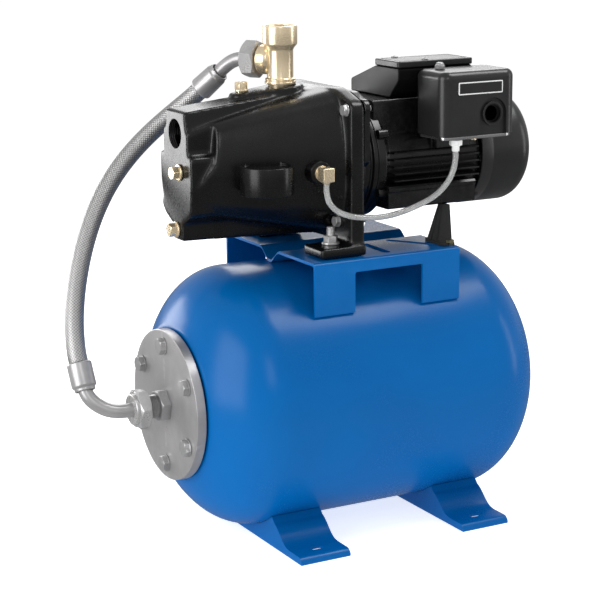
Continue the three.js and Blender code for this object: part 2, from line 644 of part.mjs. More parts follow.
function makeMotorHousing() {
	const { left, right, radius, bore } = motor;
	const shell = turnedX([
		[bore, left], [64, left], [64, 24], [58, 30], [radius, 32], [radius, right], [20.3, right],
		[20.3, 127], [34, 127], [34, 136], [bore, 136],
	], 0, shaftZ, 28);
	const finTip = 63;
	const additions = [
		block([23, -70, motorFoot.top + gap], [132, 70, 367.6]),
		block([18, -46, 415], [134, 46, box.bottom - gap]),
		block([84, -55, 402], [134, -40, 418]),
	];
	for (const side of [-1, 1]) {
		for (let fin = 0; fin < 5; fin += 1) {
			const z = 371.5 + 7.5 * fin;
			additions.push(block([34, Math.min(side * 40, side * finTip), z - 1.3],
				[141, Math.max(side * 40, side * finTip), z + 1.3]));
		}
	}
	const hollow = rodX(bore, left - 1, 136, 0, shaftZ, 28);
	const seat = rodX(20.3, 120, right + 1, 0, shaftZ, 24);
	const leadHole = rodZ(9, 425, 460, 88, 0, 12);
	const web = turnedX(tubeProfile(20.3, 34, 127, 136.2), 0, shaftZ, 24);
	const whole = join(cut(join(shell, ...additions), hollow, leadHole), web);
	add('motor_housing', cut(whole, seat), blackPaint);
	add('stator_core', turnedX(tubeProfile(31, bore - 1, 42, 118), 0, shaftZ, 28), copper);
}

function makeFanCover() {
	const { left, shoulder, right, radius, corner } = fanCover;
	const round = arc(radius - corner, shoulder, corner, right - shoulder, 0, 78, 3);
	const wall = 2;
	const insideRound = arc(radius - corner, shoulder, corner - wall, right - shoulder - wall, 78, 0, 3);
	const shell = turnedX([[radius, left], ...round, [8, right], [8, right - wall], ...insideRound,
		[radius - wall, left]], 0, shaftZ, 32);
	const slots = [];
	for (let i = 0; i < fanCover.slots; i += 1) {
		const slot = new THREE.BoxGeometry(12, 5, 24).translate(right - 1, 0, 26);
		slots.push(solid(slot.rotateX((i * 2 * Math.PI) / fanCover.slots).translate(0, 0, shaftZ)));
	}
	add('fan_cover', cut(shell, ...slots), blackPaint);
}

// The ribbed post under the motor, with its screw in the platform.
function makeMotorFoot() {
	const { x, y, top } = motorFoot;
	const base = platform.top + gap;
	const taper = 0.62;
	const post = new THREE.CylinderGeometry(taper * Math.SQRT2, Math.SQRT2, top - base, 4, 1);
	post.rotateY(Math.PI / 4).rotateX(Math.PI / 2).scale(6, 14, 1).translate(x, y, (top + base) / 2);
	const sole = block([x - 8, y - 21, base], [x + 6.4, y + 17, base + 3]);
	const screw = join(rodZ(3.2, platform.top - 5, base + 5, x + 2, y - 18.5, 10),
		rodZ(4.6, base + 2.9, base + 6, x + 2, y - 18.5, 6));
	const ribs = [-11, -1, 9].map((shift) => alongX([
		[y + shift, base], [y + shift + 5, base], [y + (shift + 4) * taper, top], [y + (shift + 1) * taper, top],
	], x - 6.6, x + 6.4));
	add('motor_foot', join(solid(post), sole, screw, ...ribs), blackPlastic);
}

const lidScrews = [[82, -45], [66, -9]];

function makeTerminalBox() {
	const { left, right, front, back, bottom, top } = box;
	const section = [[-33, bottom], [-35, 460], [front, 476], [front, top], [-3, top], [back, 471],
		[back, bottom]];
	const cavity = [[-31, bottom + 4], [-31, 462], [front + 5, 478], [front + 5, top + 9], [-7, top + 9],
		[-7, top - 5], [back - 4, 467], [back - 4, bottom + 4]];
	const leadHole = rodZ(9, 440, 463, 88, 0, 12);
	const body = cut(alongX(section, left, right), alongX(cavity, left + 4, right - 4), leadHole);
	add('terminal_box', body, blackPlastic);
	const lidTop = 496.5;
	const lid = alongX([[front - 1.5, top + gap], [-1.5, top + gap], [-1.5, lidTop - 1.5], [-3, lidTop],
		[front, lidTop], [front - 1.5, lidTop - 1.5]], left - 1, right + 1);
	const screws = lidScrews.map(([x, y]) => rodZ(3.6, lidTop - 1, lidTop + 2, x, y, 10));
	add('terminal_box_lid', join(lid, ...screws), blackPlastic);
	add('run_capacitor', rodX(11, 54, 128, -18.5, 473.2, 16), steel);
}

// ---------------------------------------------------------------- pressure switch

const studAt = [81, -76];
const plungerAt = [118, -84];
const fitting = { x: 86, y: -100, bottom: 405 };

// A rectangle with round corners, as [x, y].
function roundedRectangle(left, front, right, back, radius, steps) {
	return [
		...arc(right - radius, back - radius, radius, radius, 0, 90, steps),
		...arc(left + radius, back - radius, radius, radius, 90, 180, steps),
		...arc(left + radius, front + radius, radius, radius, 180, 270, steps),
		...arc(right - radius, front + radius, radius, radius, 270, 360, steps),
	];
}

// A drawn shell's outside or inside: upright sides, round corners and a round brow.
function pillow(outer, from, to, brow) {
	const geometry = new THREE.ExtrudeGeometry(outline(outer), {
		depth: to - from, bevelThickness: brow, bevelSize: brow, bevelOffset: -brow, bevelSegments: 3,
	});
	return cut(solid(geometry.translate(0, 0, from)), block([0, -150, from - brow - 1], [200, 0, from]));
}

function makeSwitch() {
	const { left, right, front, back, bottom, top, corner, brow } = pressureSwitch;
	const [studX, studY] = studAt;
	const wall = 2;
	const outside = pillow(roundedRectangle(left, front, right, back, corner, 4), bottom, top - brow, brow);
	const inside = pillow(roundedRectangle(left + wall, front + wall, right - wall, back - wall,
		corner - wall, 3), bottom - 5, top - brow, brow - wall);
	const archway = (radius, floor) => [[knockout.x - radius, floor],
		...arc(knockout.x, knockout.z, radius, radius, 180, 0, 10), [knockout.x + radius, floor]];
	const recess = alongY(archway(knockout.arch, bottom - 1), front - 1, front + 3);
	const backing = alongY(archway(knockout.arch + 2, bottom), front + 1, front + 5);
	const ring = (radius, from, to) => rodAlongY(radius, front + from, front + to, knockout.x, knockout.z, 20);
	const pocket = cut(join(cut(outside, inside), backing), recess);
	const cover = cut(join(pocket, ring(knockout.outer, 0.2, 4)), ring(knockout.bore, -2, 9),
		rodZ(3.4, top - 12, top + 5, studX, studY, 12));
	add('switch_cover', cover, blackPlastic);
	const nut = join(rodZ(5.6, top + 0.5, top + 4.5, studX, studY, 6),
		rodZ(4.4, top + 4.5, top + 7.6, studX, studY, 12));
	add('cover_nut', cut(nut, rodZ(2.9, top - 2, top + 5.5, studX, studY, 10)), zinc);

	const plate = bottom - gap;
	const base = join(
		alongZ(roundedRectangle(left + 2.6, front + 2.6, right - 2.6, back - 2.6, corner - 2.6, 3),
			plate - 3.4, plate),
		block([88, -60, 403], [130, -55 - gap, plate - 3]),
		block([left + 8, front + 24, plate - 0.5], [left + 12, back - 10, plate + 38]),
		block([103, -74, plate - 0.5], [134, -62, plate + 34]),
		rodZ(2.5, plate - 1, top + 5, studX, studY, 10));
	const bores = [
		rodZ(4.3, 400, 430, plungerAt[0], plungerAt[1], 12),
		rodZ(4.4, 400, 430, fitting.x, fitting.y, 12),
	];
	add('switch_base', cut(base, ...bores), steel);
	add('switch_plunger', rodZ(4, plate - 8, plate + 10, plungerAt[0], plungerAt[1], 12), brass);
	add('switch_arm', join(
		block([96, plungerAt[1] - 6, plate + 10.6], [126, plungerAt[1] + 6, plate + 12.4]),
		solid(turned(rodProfile(2, -9, 9), 10).translate(96, plungerAt[1], plate + 11.5))), steel);
	const { x, y } = fitting;
	add('tube_fitting_switch', cut(
		join(rodZ(7, 411.4, 416.8, x, y, 6), rodZ(4, fitting.bottom, plate - 0.5, x, y, 12)),
		rodZ(1.6, 400, 425, x, y, 8)), nylon);
}

// ---------------------------------------------------------------- sensing tube

const lineElbow = { x: -64.5, y: -91 };
const sensingRoute = [
	[-64.5, -91, 381.7], [-64.5, -91, 374], [-61.5, -91.4, 362.5], [-52.5, -92.6, 353], [-37, -94.6, 346.4],
	[-17, -96.6, 343.4], [2, -98, 343.4], [21, -98, 346], [40, -98, 351], [58, -98.2, 357.8],
	[71, -98.6, 366.5], [80, -99, 377], [84.4, -99.6, 388], [86, -100, 398], [86, -100, 404.7],
];

function makeSensingLine() {
	const { x, y } = lineElbow;
	const elbow = join(
		rodAlongY(4.3, y - 1, -68, x, shaftZ, 12),
		rodAlongY(8, gaugePad.face - gap - 2.5, gaugePad.face - gap, x, shaftZ, 18),
		block([x - 6.5, y - 6.5, shaftZ - 7.5], [x + 6.5, y + 7, shaftZ + 7]),
		rodZ(3.9, 382, shaftZ, x, y, 12));
	const way = join(rodZ(1.6, 380, shaftZ + 1, x, y, 8),
		rodAlongY(1.6, y, -60, x, shaftZ, 8));
	add('tube_fitting_pump', cut(elbow, way), brass);
	add('sensing_tube', swept(sensingRoute, 3, 8, 28), nylon);
	add('braided_hose', swept(hoseRoute, hoseRadius, 10, 12), braid);
}

// ---------------------------------------------------------------- assembly

makeTankShell();
makeBladder();
makeFlange();
makeFoot('tank_foot_left', foot.centres[0]);
makeFoot('tank_foot_right', foot.centres[1]);
makePlatform();
makeAirValve();
makeLowerEnd();
makeUpperEnd();
makeTee();
makeCasing();
makePlugs();
makeJet();
makeDiffuser();
makeImpeller();
makeSeal();
makeBracket();
makeShaft();
makeBearings();
makeMotorHousing();
makeFanCover();
makeMotorFoot();
makeTerminalBox();
makeSwitch();
makeSensingLine();

// The origin is on the floor, half-way between the ends of the rigid pieces.
const rigid = new THREE.Box3();
for (const mesh of pump.children) {
	if (!['braided_hose', 'sensing_tube'].includes(mesh.name)) rigid.expandByObject(mesh);
}
pump.position.x = -Math.round(rigid.getCenter(new THREE.Vector3()).x * 10) / 10;

export default pump;
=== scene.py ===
"""A shallow-well jet pump on a pressure tank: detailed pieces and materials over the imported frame.

Lengths are millimetres in the design frame, where X = 0 is on the middle of the tank's cylinder.
place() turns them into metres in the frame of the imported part.
"""

import json
from math import acos, atan2, cos, degrees, pi, radians, sin, sqrt, tau

import bmesh
import bpy
from mathutils import Matrix, Vector


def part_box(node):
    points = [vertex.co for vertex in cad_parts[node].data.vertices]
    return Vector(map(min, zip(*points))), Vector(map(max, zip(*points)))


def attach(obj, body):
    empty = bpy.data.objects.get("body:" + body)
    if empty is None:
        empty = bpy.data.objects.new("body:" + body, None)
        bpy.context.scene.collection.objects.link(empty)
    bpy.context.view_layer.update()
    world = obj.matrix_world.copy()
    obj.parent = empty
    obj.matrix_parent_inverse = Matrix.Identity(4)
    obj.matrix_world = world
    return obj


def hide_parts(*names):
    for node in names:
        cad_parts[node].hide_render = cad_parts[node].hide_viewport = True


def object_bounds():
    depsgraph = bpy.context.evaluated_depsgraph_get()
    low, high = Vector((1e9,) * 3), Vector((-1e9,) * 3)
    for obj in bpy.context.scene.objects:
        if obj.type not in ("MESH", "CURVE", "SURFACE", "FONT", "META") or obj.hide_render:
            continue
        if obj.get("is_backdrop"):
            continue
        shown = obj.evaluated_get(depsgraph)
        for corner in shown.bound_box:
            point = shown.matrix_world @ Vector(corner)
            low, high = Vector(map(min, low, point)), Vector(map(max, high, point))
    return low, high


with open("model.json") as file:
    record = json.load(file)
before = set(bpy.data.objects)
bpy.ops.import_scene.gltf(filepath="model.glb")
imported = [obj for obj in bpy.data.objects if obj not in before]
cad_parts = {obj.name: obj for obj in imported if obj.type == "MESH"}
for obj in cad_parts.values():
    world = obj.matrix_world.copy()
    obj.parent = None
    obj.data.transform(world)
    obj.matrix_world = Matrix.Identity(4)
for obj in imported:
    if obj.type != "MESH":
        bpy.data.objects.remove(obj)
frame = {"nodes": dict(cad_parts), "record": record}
cad_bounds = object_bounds()

MM = 0.001
FIXED = "pump_set"  # the body that stands still
nodes = frame["nodes"]

# ---- places, from the frame

PLATFORM_LEFT = -84.9
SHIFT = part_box("pump_platform")[0].x / MM - PLATFORM_LEFT


def place(x, y, z):
    return Vector(((x + SHIFT) * MM, y * MM, z * MM))


def low(node):
    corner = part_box(node)[0] / MM
    return Vector((corner.x - SHIFT, corner.y, corner.z))


def high(node):
    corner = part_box(node)[1] / MM
    return Vector((corner.x - SHIFT, corner.y, corner.z))


def middle(node):
    return (low(node) + high(node)) / 2


SHAFT_Z = middle("motor_shaft").z
TANK_Z = middle("tank_shell").z
TANK_R = (high("tank_shell").z - low("tank_shell").z) / 2
TANK_HALF = 127.2  # half of the tank's straight part
DOME = high("tank_shell").x - TANK_HALF
PLATFORM_TOP = high("pump_platform").z
X, Z = Vector((1, 0, 0)), Vector((0, 0, 1))

# ---- mesh making


def new_object(name, mesh):
    obj = bpy.data.objects.new(name, mesh)
    bpy.context.scene.collection.objects.link(obj)
    return obj


def make(points, faces, angle=32):
    """A mesh object from points in millimetres, smooth apart from edges sharper than angle."""
    mesh = bpy.data.meshes.new("piece")
    mesh.from_pydata([place(*p) for p in points], [], faces)
    mesh.validate()
    bm = bmesh.new()
    bm.from_mesh(mesh)
    bmesh.ops.remove_doubles(bm, verts=bm.verts, dist=1e-7)
    bmesh.ops.recalc_face_normals(bm, faces=bm.faces)
    bm.to_mesh(mesh)
    bm.free()
    shade(mesh, angle)
    return new_object("piece", mesh)


def shade(mesh, angle):
    mesh.shade_smooth()
    mesh.set_sharp_from_angle(angle=radians(angle))


def arc(u, v, ru, rv, start, end, steps):
    points = []
    for i in range(steps + 1):
        turn = radians(start + (end - start) * i / steps)
        points.append((u + ru * cos(turn), v + rv * sin(turn)))
    return points


def rounded(points, radius, closed=True, steps=3):
    """The same outline with each corner turned into a small curve."""
    count = len(points)
    out = []
    for i, (u, v) in enumerate(points):
        if not closed and i in (0, count - 1):
            out.append((u, v))
            continue
        corner = Vector((u, v))
        before = Vector(points[i - 1]) - corner
        after = Vector(points[(i + 1) % count]) - corner
        reach = min(radius, before.length * 0.48, after.length * 0.48)
        if reach < 0.02 or before.angle(after) > radians(172):
            out.append((u, v))
            continue
        first, last = corner + before.normalized() * reach, corner + after.normalized() * reach
        for k in range(steps + 1):
            t = k / steps
            p = first * (1 - t) ** 2 + corner * (2 * t * (1 - t)) + last * t ** 2
            out.append((p.x, p.y))
    return out


def across(axis):
    """Two unit vectors square to an axis and to each other."""
    axis = axis.normalized()
    side = Z if abs(axis.z) < 0.9 else X
    u = side.cross(axis).normalized()
    return u, axis.cross(u)


def lathe(profile, axis, centre, segments=96, angle=32):
    """Turns (radius, distance) pairs round an axis. A profile that leaves the axis closes on itself."""
    axis, centre = axis.normalized(), Vector(centre)
    u, v = across(axis)
    points, rings = [], []
    for radius, distance in profile:
        base = centre + axis * distance
        if radius < 1e-6:
            rings.append([len(points)] * segments)
            points.append(base)
            continue
        rings.append(list(range(len(points), len(points) + segments)))
        for i in range(segments):
            turn = tau * i / segments
            points.append(base + (u * cos(turn) + v * sin(turn)) * radius)
    on_axis = profile[0][0] < 1e-6 and profile[-1][0] < 1e-6
    pairs = list(zip(rings, rings[1:])) if on_axis else list(zip(rings, rings[1:] + rings[:1]))
    faces = []
    for a, b in pairs:
        for i in range(segments):
            j = (i + 1) % segments
            corners = []
            for corner in (a[i], a[j], b[j], b[i]):
                if corner not in corners:
                    corners.append(corner)
            if len(corners) > 2:
                faces.append(corners)
    return make(points, faces, angle)


def rod(radius, start, end, segments=48, edge=0.4):
    """A round bar between two points, with softened ends."""
    start, end = Vector(start), Vector(end)
    length = (end - start).length
    profile = rounded(rect(0, 0, radius, length), edge, closed=False)
    return lathe(profile, end - start, start, segments)


def rod_x(radius, start, end, y, z, segments=48, edge=0.4):
    return rod(radius, (start, y, z), (end, y, z), segments, edge)


def rod_y(radius, start, end, x, z, segments=48, edge=0.4):
    return rod(radius, (x, start, z), (x, end, z), segments, edge)


def rod_z(radius, start, end, x, y, segments=48, edge=0.4):
    return rod(radius, (x, y, start), (x, y, end), segments, edge)


def prism(outline, axis, start, end, angle=32):
    """Extrudes an outline along X as (y, z), along Y as (x, z) or along Z as (x, y)."""
    spots = {"X": lambda a, b, c: (c, a, b), "Y": lambda a, b, c: (a, c, b), "Z": lambda a, b, c: (a, b, c)}
    spot = spots[axis]
    count = len(outline)
    points = [spot(a, b, c) for c in (start, end) for a, b in outline]
    faces = [list(range(count)), list(range(count, 2 * count))]
    faces += [[i, (i + 1) % count, count + (i + 1) % count, count + i] for i in range(count)]
    return make(points, faces, angle)


def loft(rings, angle=32, shut=False):
    """A solid through rings with as many points each, capped, or shut from the last ring to the first."""
    count = len(rings[0])
    points = [p for ring in rings for p in ring]
    starts = [count * k for k in range(len(rings))]
    faces = [] if shut else [list(range(count)), list(range(len(points) - count, len(points)))]
    for a, b in zip(starts, starts[1:] + [0] * shut):
        faces += [[a + i, a + (i + 1) % count, b + (i + 1) % count, b + i] for i in range(count)]
    return make(points, faces, angle)


def rect(left, low_side, right, high_side):
    return [(left, low_side), (right, low_side), (right, high_side), (left, high_side)]


def block(lowest, highest):
    (x0, y0, z0), (x1, y1, z1) = lowest, highest
    return prism(rect(x0, y0, x1, y1), "Z", z0, z1)


def solidify_modifiers(obj):
    """Leaves the object with its modifiers' result as its own mesh."""
    graph = bpy.context.evaluated_depsgraph_get()
    mesh = bpy.data.meshes.new_from_object(obj.evaluated_get(graph))
    obj.modifiers.clear()
    obj.data = mesh
    return obj


def boolean(obj, tools, operation):
    for tool in tools:
        step = obj.modifiers.new("cut", "BOOLEAN")
        step.operation, step.object, step.solver = operation, tool, "EXACT"
        solidify_modifiers(obj)
        bpy.data.objects.remove(tool)
    return obj


def cut(obj, *tools):
    return boolean(obj, tools, "DIFFERENCE")


def join(obj, *tools):
    return boolean(obj, tools, "UNION")


def keep(obj, *tools):
    return boolean(obj, tools, "INTERSECT")


def bevel(obj, width, segments=2, limit=30, angle=40):
    step = obj.modifiers.new("edge", "BEVEL")
    step.width, step.segments = width * MM, segments
    step.limit_method, step.angle_limit = "ANGLE", radians(limit)
    step.use_clamp_overlap = True
    solidify_modifiers(obj)
    shade(obj.data, angle)
    return flatten(obj)


def flatten(obj):
    """Keeps wide faces flat, so that only the narrow faces at their edges look round."""
    step = obj.modifiers.new("flat", "WEIGHTED_NORMAL")
    step.keep_sharp = True
    return solidify_modifiers(obj)


def cast(obj, grid, passes, angle=60):
    """Softens every edge, as sand casting does: a fine grid remesh and a few passes of smoothing."""
    step = obj.modifiers.new("grid", "REMESH")
    step.mode, step.voxel_size = "VOXEL", grid * MM
    soft = obj.modifiers.new("soft", "SMOOTH")
    soft.factor, soft.iterations = 0.5, passes
    solidify_modifiers(obj)
    shade(obj.data, angle)
    return obj


def blend(first, second, start, end, at):
    return first * ((end - at) / (end - start)) + second * ((at - start) / (end - start))


def smooth_path(points, step):
    """Even points, step apart, along a centripetal Catmull-Rom curve."""
    points = [Vector(p) for p in points]
    ends = [points[0] * 2 - points[1], *points, points[-1] * 2 - points[-2]]
    fine, finer = [], 24
    for i in range(len(points) - 1):
        near = ends[i:i + 4]
        times = [0.0]
        for p, q in zip(near, near[1:]):
            times.append(times[-1] + sqrt((q - p).length))
        for k in range(finer):
            t = times[1] + (times[2] - times[1]) * k / finer
            ab, bc, cd = [blend(near[j], near[j + 1], times[j], times[j + 1], t) for j in range(3)]
            abc, bcd = blend(ab, bc, times[0], times[2], t), blend(bc, cd, times[1], times[3], t)
            fine.append(blend(abc, bcd, times[1], times[2], t))
    fine.append(points[-1])
    lengths = [0.0]
    for p, q in zip(fine, fine[1:]):
        lengths.append(lengths[-1] + (q - p).length)
    count = max(2, round(lengths[-1] / step))
    even, k = [], 0
    for i in range(count + 1):
        want = lengths[-1] * i / count
        while k < len(fine) - 2 and lengths[k + 1] < want:
            k += 1
        even.append(fine[k].lerp(fine[k + 1], (want - lengths[k]) / (lengths[k + 1] - lengths[k])))
    return even, lengths[-1]


def frames_along(path):
    """Two side vectors at each point, with no twist from one to the next."""
    around = [path[0], *path, path[-1]]
    tangents = [(after - before).normalized() for before, after in zip(around, around[2:])]
    side = across(tangents[0])[0]
    out = []
    for tangent in tangents:
        side = (side - tangent * side.dot(tangent)).normalized()
        out.append((side, tangent.cross(side)))
    return out


def tube(points, radius, sides=32, step=1.5, bore=0.0, radius_at=None, angle=50):
    """A tube along a smooth route, open to its bore, or closed where the bore is zero."""
    path, length = smooth_path(points, step)
    spots = list(zip(path, frames_along(path)))
    turns = [tau * k / sides for k in range(sides)]
    rings = []
    for i, (p, (u, v)) in enumerate(spots):
        along = length * i / (len(path) - 1)
        rings.append([p + (u * cos(turn) + v * sin(turn)) * (radius_at(along,
            turn) if radius_at else radius) for turn in turns])
    if bore:
        rings += [[p + (u * cos(turn) + v * sin(turn)) * bore for turn in turns] for p,
            (u, v) in reversed(spots)]
    return loft(rings, angle, bool(bore)), path, length


# ---- materials


def wire(tree, kind, output, inputs, **settings):
    """Adds a node with its settings, fills or links its inputs, and gives the output asked for."""
    node = tree.nodes.new("ShaderNode" + kind)
    for key, value in settings.items():
        setattr(node, key, value)
    fill(tree, node, inputs)
    return node.outputs[output]


def fill(tree, node, inputs):
    for key, value in inputs.items():
        socket = node.inputs[key]
        if isinstance(value, bpy.types.NodeSocket):
            tree.links.new(value, socket)
        else:
            socket.default_value = (*value, 1) if socket.type == "RGBA" else value


class Nodes:
    """A short way to write a node material."""

    def __init__(self, name):
        self.material = bpy.data.materials.new(name)
        self.material.use_nodes = True
        self.tree = self.material.node_tree
        self.shader = self.tree.nodes["Principled BSDF"]
        self.where = self.tree.nodes.new("ShaderNodeTexCoord").outputs["Object"]

    def add(self, kind, output, inputs, **settings):
        return wire(self.tree, kind, output, inputs, **settings)

    def noise(self, scale, detail=3.0, stretch=None):
        source = self.where
        if stretch:
            source = self.add("Mapping", "Vector", {"Scale": stretch, "Vector": source})
        return self.add("TexNoise", "Fac", {"Scale": scale, "Detail": detail, "Vector": source})

    def spread(self, value, low_in, high_in, low_out, high_out):
        return self.add("MapRange", "Result", {"Value": value, "From Min": low_in, "From Max": high_in,
            "To Min": low_out, "To Max": high_out})

    def mix(self, factor, first, second):
        return self.add("Mix", "Result", {"Factor": factor, "A": first, "B": second}, data_type="RGBA")

    def math(self, operation, first, second):
        return self.add("Math", "Value", {0: first, 1: second}, operation=operation)

    def edges(self):
        """Bright on outer edges, from how the surface bends: the mask for edge wear and painted edge
        highlights.
        """
        return self.spread(self.add("NewGeometry", "Pointiness", {}), 0.53, 0.62, 0.0, 1.0)

    def bump(self, height, distance, strength=1.0):
        lift = {"Strength": strength, "Distance": distance * MM, "Height": height}
        self.set(Normal=self.add("Bump", "Normal", lift))

    def set(self, **values):
        """Sets or links inputs of the material's shader. An underscore stands for a space."""
        fill(self.tree, self.shader, {key.replace("_", " "): value for key, value in values.items()})


SLOTS = {}  # the slot that each material is in


def surface(name, slot, colour, second, rough, metal, patches, grain, depth, edge_wear_and_highlight=None, edge_wear_and_highlight_share=0.5,
        stretch=None, rough_spread=0.06, **constants):
    """A material whose colour, roughness and height vary over the surface, with outer edges partly worn and
    partly painted as highlights.
    """
    n = Nodes(name)
    SLOTS[n.material.name] = slot
    n.set(Metallic=metal, **constants)
    second = second or tuple(c * 0.8 for c in colour)
    broad = n.noise(patches, 4)
    fine = n.noise(grain, 3, stretch)
    base = n.mix(n.spread(broad, 0.35, 0.65, 0, 1), colour, second)
    # Outer edges take the edge colour: partly wear, partly a painted highlight.
    if edge_wear_and_highlight:
        edge_wear_and_highlight_mask = n.math("MULTIPLY", n.edges(), n.spread(n.noise(patches * 6, 5), 0.4, 0.7, 0, edge_wear_and_highlight_share))
        base = n.mix(edge_wear_and_highlight_mask, base, edge_wear_and_highlight)
    mixed = n.math("ADD", n.math("MULTIPLY", broad, 0.6), n.math("MULTIPLY", fine, 0.4))
    n.set(Base_Color=base, Roughness=n.spread(mixed, 0.3, 0.7, rough - rough_spread, rough + rough_spread))
    n.bump(fine, depth)
    return n.material


# Name, slot, colour, second colour, roughness, metal, scale of patches, scale of grain, depth in mm,
# then the colour and share of the outer edges, partly wear and partly a painted highlight.
# The lighter blue given to the tank paint's outer edges is a painted highlight.
blue_paint = surface("blue_paint", "tank_paint", (0, 0.113, 0.37), (0, 0.102, 0.345), 0.24, 0, 9, 700, 0.005,
    (0.02, 0.18, 0.5), 0.2, Specular_IOR_Level=0.16)
black_cast = surface("black_cast", "casing_black", (0.0022, 0.0022, 0.0024), (0.0034, 0.0034, 0.0036), 0.27,
    0, 30, 380, 0.003, (0.02, 0.02, 0.021), 0.06, Specular_IOR_Level=0.38)
black_enamel = surface("black_enamel", "motor_black", (0.0024, 0.0024, 0.0026), (0.0035, 0.0035, 0.0038),
    0.24, 0, 35, 600, 0.004, (0.05, 0.05, 0.051), 0.12)
black_satin = surface("black_satin", "cover_black", (0.011, 0.011, 0.0115), (0.013, 0.013, 0.0136), 0.3, 0,
    12, 1100, 0.003, (0.04, 0.04, 0.043), 0.08)
black_plastic = surface("black_plastic", "plastic_black", (0.004, 0.004, 0.0043), (0.006, 0.006, 0.0064),
    0.36, 0, 40, 1500, 0.006, (0.03, 0.03, 0.031), 0.1)
box_plastic = surface("box_plastic", "plastic_black", (0.003, 0.003, 0.0033), (0.0045, 0.0045, 0.0049), 0.34,
    0, 40, 1500, 0.006, (0.04, 0.04, 0.041), 0.1, Specular_IOR_Level=0.13)
zinc = surface("zinc", "zinc_plate", (0.62, 0.615, 0.61), (0.5, 0.5, 0.505), 0.3, 0.7, 60, 1400, 0.02,
    (0.8, 0.8, 0.8), 0.6, rough_spread=0.08)
satin_zinc = surface("satin_zinc", "zinc_plate", (0.49, 0.48, 0.485), (0.39, 0.385, 0.39), 0.34, 0.62, 25,
    1400, 0.01, (0.7, 0.7, 0.7), 0.5, rough_spread=0.08)
dark_zinc = surface("dark_zinc", "zinc_plate", (0.42, 0.415, 0.42), (0.34, 0.34, 0.345), 0.34, 0.6, 60, 1400,
    0.02, (0.55, 0.55, 0.55), 0.6, rough_spread=0.08)
yellow_zinc = surface("yellow_zinc", "zinc_plate", (0.45, 0.38, 0.2), (0.32, 0.3, 0.22), 0.34, 1, 90, 1400,
    0.02)
bright_steel = surface("bright_steel", "bright_steel", (0.55, 0.55, 0.56), None, 0.25, 1, 50, 1200, 0.01)
brass = surface("brass", "brass", (0.9, 0.75, 0.52), (0.87, 0.72, 0.49), 0.25, 0.78, 14, 1000, 0.012,
    (0.95, 0.86, 0.68), 0.15, stretch=(1, 1, 9))
laminations = surface("laminations", "lamination_steel", (0.3, 0.25, 0.22), None, 0.45, 0.8, 60, 900, 0.05,
    stretch=(12, 1, 1))
rubber = surface("rubber", "plastic_black", (0.012, 0.012, 0.012), None, 0.75, 0, 40, 900, 0.05)
carbon = surface("carbon", "seal_carbon", (0.03, 0.03, 0.032), None, 0.4, 0, 70, 1300, 0.01)
nylon = surface("nylon", "clear_nylon", (0.95, 0.96, 0.95), (0.82, 0.83, 0.82), 0.04, 0, 60, 900, 0.01,
    Transmission_Weight=0.75, IOR=1.45)
white_nylon = surface("white_nylon", "clear_nylon", (0.78, 0.79, 0.78), (0.7, 0.7, 0.69), 0.4, 0, 80, 1200,
    0.02)
white_paint = surface("white_paint", "cover_black", (0.8, 0.8, 0.8), (0.7, 0.7, 0.7), 0.45, 0, 80, 1200, 0.01)


def braid_material():
    """Stainless wire: steel crowns, painted shade in the low gaps between and under the strands, and fine
    wires along each strand.
    """
    n = Nodes("wire_braid")
    SLOTS[n.material.name] = "wire_braid"
    crown = n.add("Attribute", "Fac", {}, attribute_name="crown")
    light = n.mix(n.noise(300, 3), (0.6, 0.59, 0.585), (0.44, 0.44, 0.44))
    # Painted shade: the low parts of the weave are coloured near-black.
    base = n.mix(n.spread(crown, 0.1, 0.8, 0, 1), (0.1, 0.1, 0.105), light)
    n.set(Metallic=0.85, Base_Color=base, Roughness=n.spread(n.noise(900, 3), 0.3, 0.7, 0.32, 0.5))
    n.bump(n.add("TexWave", "Fac", {"Scale": 300, "Distortion": 1.5, "Vector": n.where}), 0.05, 0.6)
    return n.material


def settle(obj, material, node=None, body=FIXED, name=None, angle=None, slot=None):
    """Gives a piece its name, shading, material and body, and hides the CAD node that it stands for."""
    obj.name = name or node + "_detail"
    if angle:
        shade(obj.data, angle)
    obj.data.materials.clear()
    obj.data.materials.append(material)
    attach(obj, body)
    slot or SLOTS[material.name]
    if node:
        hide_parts(node)


# ---- camera

CAMERA_AT = (-954.3, -1675.4, 685.2)
AZIMUTH, ELEVATION, ROLL = (radians(a) for a in (-28.431, 13.139, -0.533))
LENS = 108.35


def make_camera():
    back = Vector((sin(AZIMUTH) * cos(ELEVATION), -cos(AZIMUTH) * cos(ELEVATION), sin(ELEVATION)))
    right = Z.cross(back).normalized()
    up = back.cross(right)
    level = Matrix((right, up, back)).transposed()
    data = bpy.data.cameras.new("camera")
    data.lens, data.sensor_width = LENS, 36
    data.clip_start, data.clip_end = 0.05, 50
    camera = new_object("camera", data)
    camera.matrix_world = Matrix.Translation(place(*CAMERA_AT)) @ (level @ Matrix.Rotation(ROLL, 3,
        "Z")).to_4x4()
    bpy.context.scene.camera = camera


make_camera()

# ---- cords

HOSE_R = 10.2
HOSE_ROUTE = [(-294.3, 27.5, 197.5), (-294.6, 31, 204.8), (-293.5, 37.1, 216.9), (-290, 46.9, 236),
    (-284.6, 56.6, 254.7), (-277.8, 66.1, 273.1), (-269.8, 75.1, 291.4), (-260.7, 83.6, 309.6),
    (-250.6, 91.2, 327.4), (-239.3, 97.8, 344.9), (-226.8, 103, 362), (-213.1, 106.6, 378.4),
    (-198.2, 108.3, 394.2), (-182.4, 107.9, 409.3), (-166.1, 105.2, 423.8), (-150.1, 99.7, 437.8),
    (-135.3, 91.4, 451.5), (-127.1, 84.9, 460.2), (-123.4, 80.2, 465.3)]
STRANDS = 18  # braid strands each way round the hose
BRAID_PITCH = 58.0  # length in which a strand goes once round


